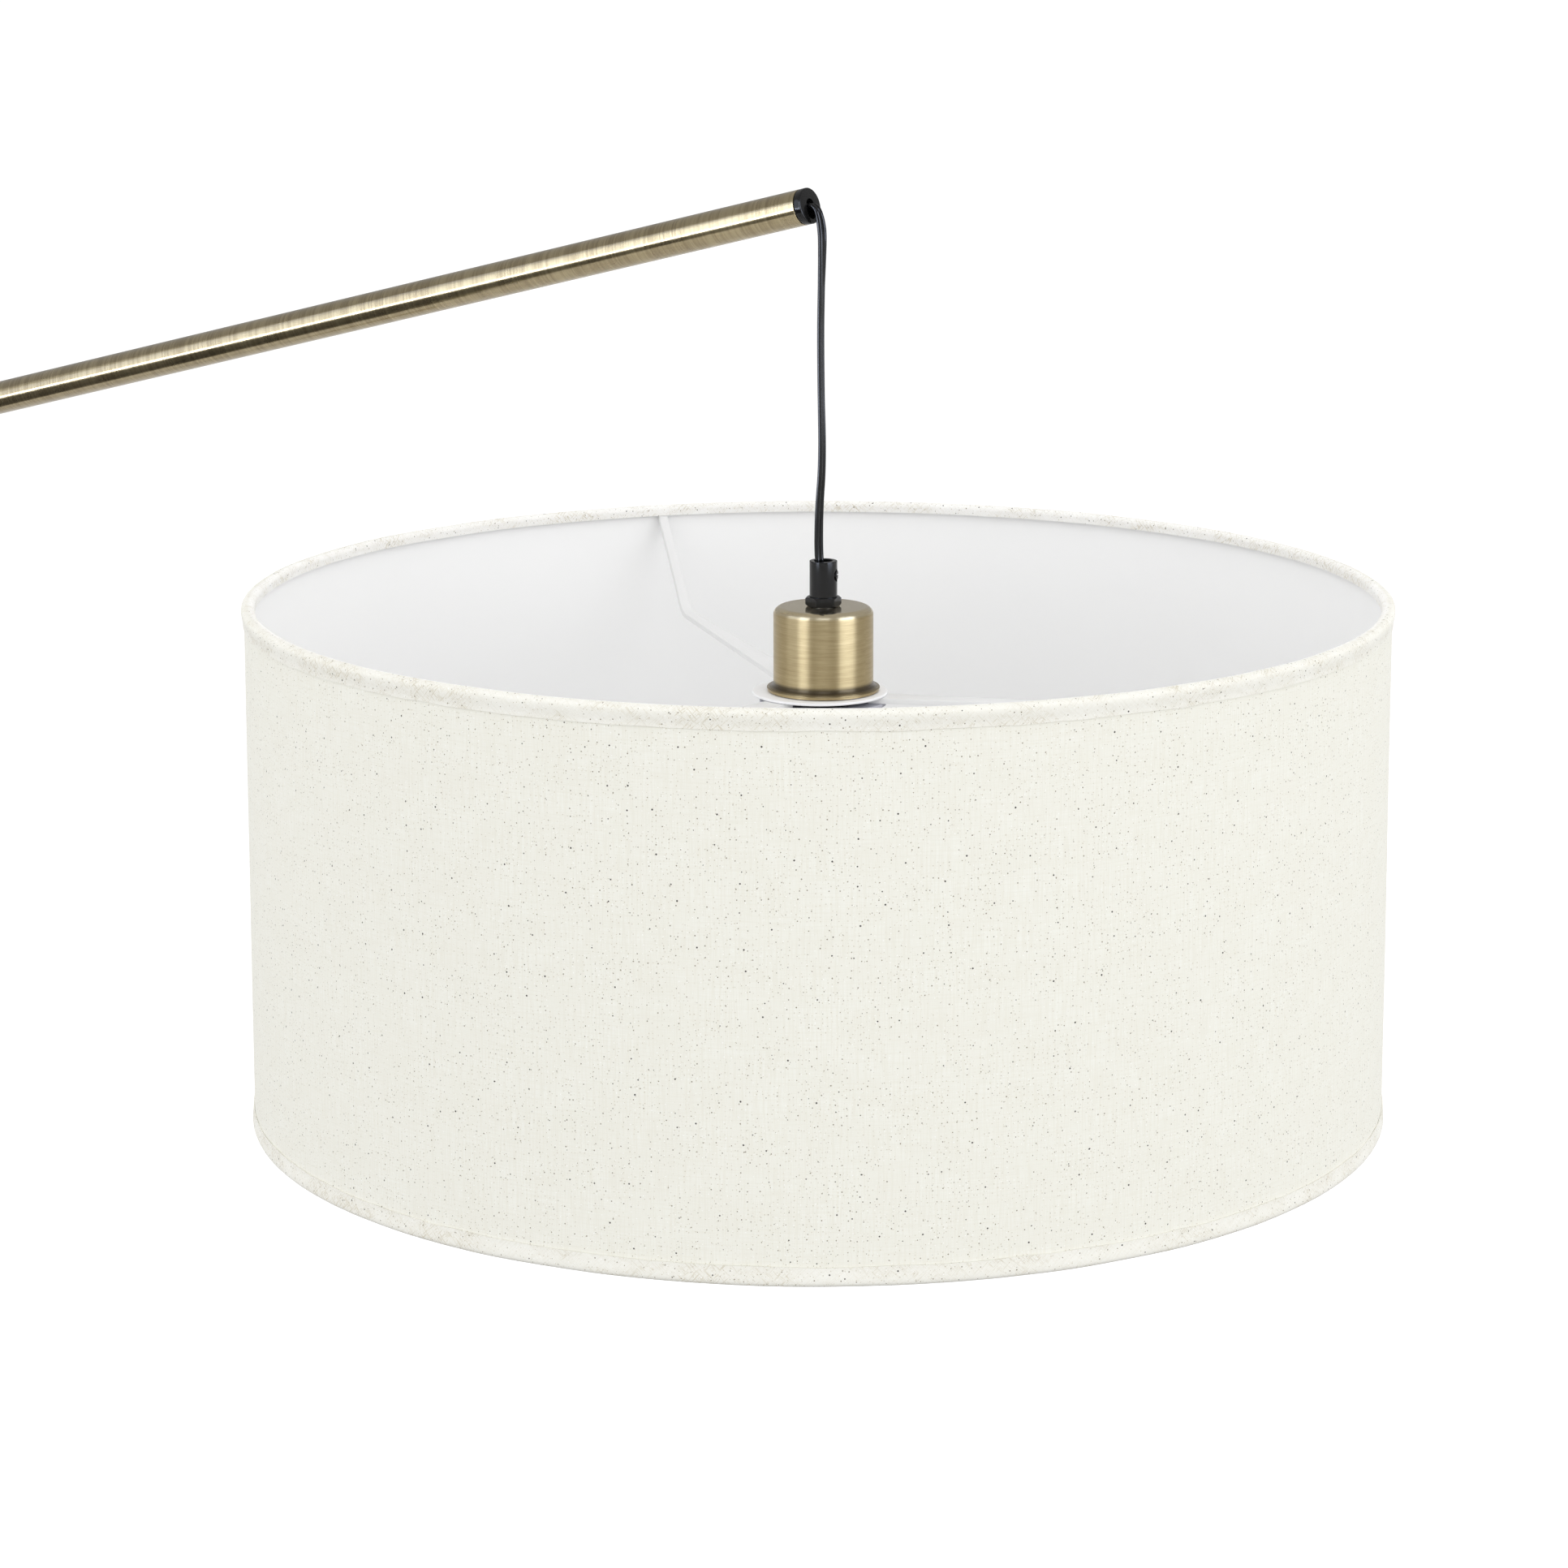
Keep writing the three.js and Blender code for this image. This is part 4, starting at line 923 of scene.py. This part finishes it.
def make_socket_cup():
    """The brass cup over the lampholder: a soft shoulder, a straight side and a flared, beaded lip."""
    top, foot, wall, bore = -5.7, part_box("socket_cup")[0].z - RIM_Z, 0.9, 5.3
    foot /= MM
    side, shoulder = 22.3, 3.7
    outline = [(bore, top), (12, top - 0.05)]
    outline += arc(side - shoulder, top - shoulder, shoulder, 90, 0, 14)
    outline += arc(side + 2.1, -39.6, 2.1, 180, 265, 10)
    outline += [(side + 2.15, -42.0)]
    outline += arc(side + 2.5, -42.4, 0.45, 120, -70, 8)
    outline += [(side + 2.6, foot + 0.1), (side + 2.4, foot)]
    outline += [(side + 0.2, foot + 0.5), (side + 0.2, foot + 1.3), (side - wall, -38.4)]
    outline += arc(side - shoulder, top - shoulder, shoulder - wall, 0, 90, 14)
    outline += [(bore, top - wall)]
    cup = lathe([(r * MM, h * MM) for r, h in outline], 160)
    add_piece("socket_cup_spun", cup, AT_HOLDER, "socket_cup", CUP_BRASS)


# -------- spider

DISC_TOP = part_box("fitter_disc")[1].z - RIM_Z
DISC_RADIUS = (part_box("fitter_disc")[1].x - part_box("fitter_disc")[0].x) / 2
DISC_BORE = 21.6 * MM
DISC_THICK = 1.2 * MM
ARM_ANGLES = (21.3, 141.3, 261.3)


def make_disc_and_ring():
    disc = [(DISC_BORE, DISC_TOP - DISC_THICK), (DISC_RADIUS, DISC_TOP - DISC_THICK)]
    disc += [(DISC_RADIUS, DISC_TOP), (DISC_BORE, DISC_TOP)]
    add_piece("fitter_disc_pressed", lathe(soften(disc, 0.5 * MM), 160), AT_DISC, "fitter_disc")

    under = DISC_TOP - DISC_THICK - 0.3 * MM
    ring = [(19.4, -2.4), (28.6, -2.4), (28.6, -4.2), (22.5, -5.4), (21.6, -6.4), (21.6, -12)]
    ring = [(r * MM, under + h * MM) for r, h in [*ring, (19.4, -12)]]
    ribs = 36

    def ribbed(angle, radius, height):
        rim = radius > 28.3 * MM
        return radius - (0.25 * MM * (1 - math.cos(ribs * angle)) if rim else 0), height

    ring = lathe(soften(ring, 0.35 * MM), 216, shift=ribbed)
    # its grey-violet tone is painted shade
    add_piece("shade_ring_moulded", ring, AT_HOLDER, "shade_ring", RING_PAINTED_SHADE)


def arm_stations():
    """Radius, height and width along an arm: level under the disc, round the knee, up to the top ring."""
    knee, tip = 208 * MM, SHADE_RADIUS - 4.6 * MM
    level = DISC_TOP - DISC_THICK - 0.15 * MM
    slope_top = -4.2 * MM
    start = 24 * MM
    bend = 5 * MM
    out = [(start, level, 13 * MM), (DISC_RADIUS, level, 12 * MM)]
    for r in np.linspace(50 * MM, knee - bend, 12):
        out.append((r, level, np.interp(r, (DISC_RADIUS, knee), (12 * MM, 5 * MM))))
    rise = (slope_top - level) / (tip - knee)
    first, last = Vector((knee - bend, level)), Vector((knee + bend, level + rise * bend))
    turned = rounded(first, Vector((knee, level)), last, (0.25, 0.5, 0.75, 1))
    out += [(r, height, 5 * MM) for r, height in turned]
    out += [(r, level + rise * (r - knee), 4.4 * MM) for r in np.linspace(knee + 2 * bend, tip, 6)]
    return out


def make_arm(number, degrees):
    """A pressed white strip with its long edges turned down."""
    sheet, flange, fold = 0.9 * MM, 2.4 * MM, 0.5 * MM
    stations = arm_stations()
    built = bmesh.new()
    rings = []
    for i, (radius, height, width) in enumerate(stations):
        before, after = stations[max(i - 1, 0)], stations[min(i + 1, len(stations) - 1)]
        run, rise = after[0] - before[0], after[1] - before[1]
        along = Vector((run, 0, rise)).normalized()
        up = Vector((-along.z, 0, along.x))
        half = width / 2
        outer = [(-half, -flange), (-half, -fold), (-half + fold * 0.3, -fold * 0.3), (-half + fold, 0)]
        inner = [(-half + sheet, -flange), (-half + sheet, -sheet)]
        outline = outer + [(-x, y) for x, y in reversed(outer)] + [(-x, y) for x, y in inner] + inner[::-1]
        rings.append([built.verts.new(Vector((radius, x, height)) + up * y) for x, y in outline])
    skin(built, rings)
    bmesh.ops.recalc_face_normals(built, faces=built.faces)
    node = f"spider_arm_{number}"
    add_piece(node + "_pressed", built, AT_SHADE @ turn(degrees, "Z"), node, ARM_SHADED_PAINT)


# -------- shade

CLOTH, LINER = 0.6 * MM, 0.5 * MM
TAPE = 0.5 * MM
TAPE_HEIGHT = 8 * MM
INNER_SHARE = 0.42  # how far the tape comes down inside, against outside
SHADE_SIDES = 384
FLARE = 1.6 * MM
SEAM_ANGLE = math.radians(92)  # the cover's overlap and the tape's join, at the back


def waver(angle, height, seed, scale):
    """Smooth noise round the shade, from -1 to 1, that meets itself after a whole turn."""
    at = Vector((math.cos(angle), math.sin(angle), 0)) * SHADE_RADIUS * scale
    return noise.noise(at + Vector((seed, seed, height * scale)))


def flare(height):
    """How much wider the shade is at a height below its top rim than at that rim."""
    return FLARE * min(1.0, max(0.0, -height / SHADE_HEIGHT))


def out_of_round(angle, height):
    """The cloth tube isn't quite round between its two rings."""
    free = math.sin(math.pi * min(1.0, max(0.0, -height / SHADE_HEIGHT)))
    return 0.45 * MM * free * waver(angle, height, 5.0, 9.0)


def near_seam(angle, width):
    """1 on the seam, falling to 0 at that distance from it."""
    away = abs((angle - SEAM_ANGLE + math.pi) % (2 * math.pi) - math.pi) * SHADE_RADIUS
    return max(0.0, 1 - away / width)


def cloth_tube(name, node, thick, rows):
    low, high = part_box(node)
    outer = (high.x - low.x) / 2
    heights = np.linspace(low.z - RIM_Z, high.z - RIM_Z, rows + 1)
    outline = [(outer, h) for h in heights] + [(outer - thick, h) for h in heights[::-1]]

    def shift(angle, radius, height):
        seam = 0.28 * MM * min(1.0, 4 * near_seam(angle, 7 * MM)) if radius > outer - thick / 2 else 0
        wide = flare(height) + out_of_round(angle, height)
        return radius + wide + (seam if node == "shade_cover" else 0), height

    return add_piece(name, lathe(outline, SHADE_SIDES, shift=shift), AT_SHADE, node)


def tape(name, node, edge, down):
    """Bias tape folded over a rim: down the outside, round the wire, and down the inside; down is -1 or 1."""
    out, inside, crown, peak = SHADE_RADIUS - 0.15 * MM, SHADE_RADIUS - 5.3 * MM, 1.6 * MM, -0.6 * MM
    middle_r, reach = (out + inside) / 2, (out - inside) / 2 - TAPE / 2
    rows = np.linspace(TAPE_HEIGHT, crown, 7)
    fold = [(middle_r + reach, d) for d in rows]
    for a in np.radians(range(15, 166, 15)):
        fold.append((middle_r + reach * math.cos(a), crown - (crown - peak - TAPE / 2) * math.sin(a)))
    fold += [(middle_r - reach, crown + (d - crown) * INNER_SHARE) for d in rows[::-1]]
    outer, inner = [], []
    for i, point in enumerate(fold):
        before, after = Vector(fold[max(i - 1, 0)]), Vector(fold[min(i + 1, len(fold) - 1)])
        along = (after - before).normalized()
        side = Vector((-along.y, along.x)) * TAPE / 2
        outer.append(Vector(point) - side)
        inner.append(Vector(point) + side)
    outline = [(p.x, edge + down * p.y) for p in outer + inner[::-1]]

    full = (0.75 if down < 0 else 0.45) * MM

    def shift(angle, radius, height):
        depth = abs(height - edge)
        outside = 1 if radius > middle_r else -1
        off_crest = min(1, abs(depth - 2 * MM) / (5.5 * MM))
        bulge = full * (0.5 + 0.5 * math.cos(math.pi * off_crest)) if outside > 0 else 0
        pucker = waver(angle, height * 0.6, 31.0 + outside, 85.0) + 0.5 * waver(angle, height, 57.0, 210.0)
        slant = near_seam(angle + depth * outside / SHADE_RADIUS, 3.5 * MM)
        swell = 0.11 * MM * pucker + 0.35 * MM * min(1.0, 2 * slant)
        ragged = 0.45 * MM * waver(angle, 0, 12.0 + 7 * outside, 60.0) * (depth / TAPE_HEIGHT) ** 3
        ragged += 0.12 * MM * waver(angle, 0, 40.0, 300.0) * (depth / TAPE_HEIGHT) ** 3
        lift = 0.2 * MM * waver(angle, 0, 3.0, 30.0) * (1 - depth / TAPE_HEIGHT)
        return radius + flare(edge) + outside * swell + bulge, height + down * (ragged + lift)

    return add_piece(name, lathe(outline, 2 * SHADE_SIDES, shift=shift), AT_SHADE, node)


def make_shade():
    cover = cloth_tube("shade_cloth", "shade_cover", CLOTH, 16)
    cloth_tube("shade_lining", "shade_liner", LINER, 16)
    top = tape("top_tape", "top_trim", 0, -1)
    bottom = tape("bottom_tape", "bottom_trim", -SHADE_HEIGHT, 1)
    for node in ("top_ring", "bottom_ring"):
        low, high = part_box(node)
        wire = (high.z - low.z) / 2
        height = (high.z + low.z) / 2 - RIM_Z
        centre = ((high.x - low.x) / 2 - wire + flare(height), height)
        add_piece(node + "_wire", lathe(arc(*centre, 1.3 * MM, 0, 330, 11), 192), AT_SHADE, node)


# -------- CAD solids that stay

# The width of each one's bevel, in millimetres.
BEVELLED = {
    **dict.fromkeys(("centre_contact", "hub_screw_front", "hub_screw_rear"), 0.2),
    **dict.fromkeys(("base_nut", "swivel_nut"), 0.5),
    "base_weight": 0.8,
    "switch_body": 0.6,
    "counterweight_screw": 0.3,
}


def finish_cad_solids():
    for node in [*BEVELLED, "pole_cable"]:
        kept = frame["nodes"][node]
        kept.data.materials.clear()
        kept.data.materials.append(FINISH[SLOT_OF[node]])
        if node in BEVELLED:
            add_bevel(kept, BEVELLED[node] * MM)


# -------- studio

AIM = Vector((SHADE_CENTRE.x, SHADE_CENTRE.y, 0))
COOL_WHITE = (0.9, 1.0, 1.24)


def studio_place(side, height, distance):
    """A place that faces the shade's axis, side degrees to the right of the camera; X is its width."""
    a = math.radians(side)
    out = -LOOK * math.cos(a) + RIGHT * math.sin(a)
    across = Vector((-out.y, out.x, 0))
    place = Matrix((across, Vector((0, 0, 1)), out)).transposed().to_4x4()
    place.translation = AIM + out * distance + Vector((0, 0, height))
    return place


def glow(name, radiance, albedo=0.0):
    """A plain white surface that glows, and that also takes some light and shadow."""
    s = Shader(name)
    s.material.cycles.emission_sampling = "NONE"
    return s.finish(
        Base_Color=grey(albedo),
        Roughness=1.0,
        Specular_IOR_Level=0.0,
        Emission_Color=grey(1),
        Emission_Strength=radiance,
    )


def add_stage(name, mesh, place, material, *unseen_by):
    """A piece of the studio that those kinds of ray don't see."""
    made = new_object(name, mesh, place)
    made.data.materials.append(material)
    for ray in unseen_by:
        setattr(made, "visible_" + ray, False)


def make_floor():
    disc = bmesh.new()
    bmesh.ops.create_circle(disc, cap_ends=True, segments=96, radius=90)
    add_stage("floor", disc, ON_FLOOR, glow("pale_floor", 0.92, 0.3), "diffuse")
    wall = lathe([(80, -0.01), (80, 80)], 96, closed=False)
    add_stage("backdrop", wall, ON_FLOOR, glow("pale_backdrop", 1.02), "diffuse", "glossy", "shadow")


def make_world():
    """White above and grey below, seen by the shiny pieces and filling the shadows."""
    world = bpy.data.worlds.new("studio")
    bpy.context.scene.world = world
    world.use_nodes = True
    tree = world.node_tree
    way = tree.nodes.new("ShaderNodeTexCoord")
    parts = tree.nodes.new("ShaderNodeSeparateXYZ")
    tone = tree.nodes.new("ShaderNodeMapRange")
    for name, value in (("From Min", -0.6), ("From Max", 0.6), ("To Min", 0.35), ("To Max", 0.46)):
        tone.inputs[name].default_value = value
    tree.links.new(way.outputs["Generated"], parts.inputs[0])
    tree.links.new(parts.outputs["Z"], tone.inputs["Value"])
    tree.links.new(tone.outputs[0], tree.nodes["Background"].inputs["Strength"])
    tree.nodes["Background"].inputs["Color"].default_value = grey(1)


def panel(name, place, width, height, radiance, shine):
    """An area light that only reflections show, with shine, or that lights only plain surfaces."""
    data = bpy.data.lights.new(name, "AREA")
    data.shape = "RECTANGLE"
    data.size, data.size_y = width, height
    data.energy = radiance * math.pi * width * height
    data.color = COOL_WHITE if shine else (1, 1, 1)
    lamp = bpy.data.objects.new(name, data)
    lamp.matrix_world = place
    lamp.visible_camera = False
    lamp.visible_glossy = shine
    lamp.visible_diffuse = not shine
    bpy.context.scene.collection.objects.link(lamp)


def tent(radius, height, radiance):
    """A white cloth wall round the lamp, which lights plain surfaces and isn't seen in the shiny pieces."""
    wall = lathe([(radius, 0), (radius, height)], 48, closed=False)
    unseen_by = ("camera", "glossy", "shadow")
    add_stage("tent", wall, Matrix.Translation(AIM), glow("tent", radiance), *unseen_by)


def flag(name, place, width, height, radiance):
    """A dark card that only the shiny pieces see."""
    card = block((-width / 2, width / 2), (-height / 2, height / 2), (-0.002, 0))
    add_stage(name, card, place, glow(name, radiance), "camera", "diffuse", "shadow")


# Each panel: degrees to the right, height, distance, then its own width, height, radiance and shine.
PANELS = {
    "left_shine": (-78, 2.6, 3.0, 1.6, 1.9, 1.45, True),
    "left_strip": (-72, 1.24, 3.0, 2.4, 0.36, 9.0, True),
    "left_front_shine": (-48, 2.5, 3.0, 1.3, 2.2, 6.0, True),
    "right_shine": (58, 2.5, 3.0, 2.2, 2.2, 6.0, True),
    "front_shine": (0, 3.7, 2.6, 1.6, 1.0, 3.0, True),
    "right_fill": (50, 2.6, 3.2, 2.0, 2.0, 0.62, False),
}


def make_studio():
    make_floor()
    make_world()
    tent(4.0, 6.0, 1.33)
    for name, (side, height, distance, *size) in PANELS.items():
        panel(name, studio_place(side, height, distance), *size)
    panel("overhead_fill", studio_place(0, 4.6, 0.0) @ turn(-90, "X"), 5.0, 5.0, 0.4, False)
    flag("grey_card", studio_place(0, 0.002, 0.0) @ turn(90, "X"), 9.0, 9.0, 0.78)
    flag("left_flag", studio_place(-66, 0.5, 3.02), 3.8, 1.04, 0.03)
    flag("floor_flag", studio_place(-66, 0.03, 2.1) @ turn(90, "X"), 3.2, 1.8, 0.03)
    view = bpy.context.scene.view_settings
    view.view_transform = "Standard"
    view.look = "None"


# -------- build

make_turned()
make_base_cover()
make_yoke()
make_hub()
make_knob()
make_counterweight()
make_end_cap()
make_cables()
make_switch_spring()
make_cord_grip()
make_grip_screw()
make_socket_cup()
make_disc_and_ring()
for number, degrees in enumerate(ARM_ANGLES, 1):
    make_arm(number, degrees)
make_shade()
finish_cad_solids()
make_studio()

bpy.context.view_layer.update()
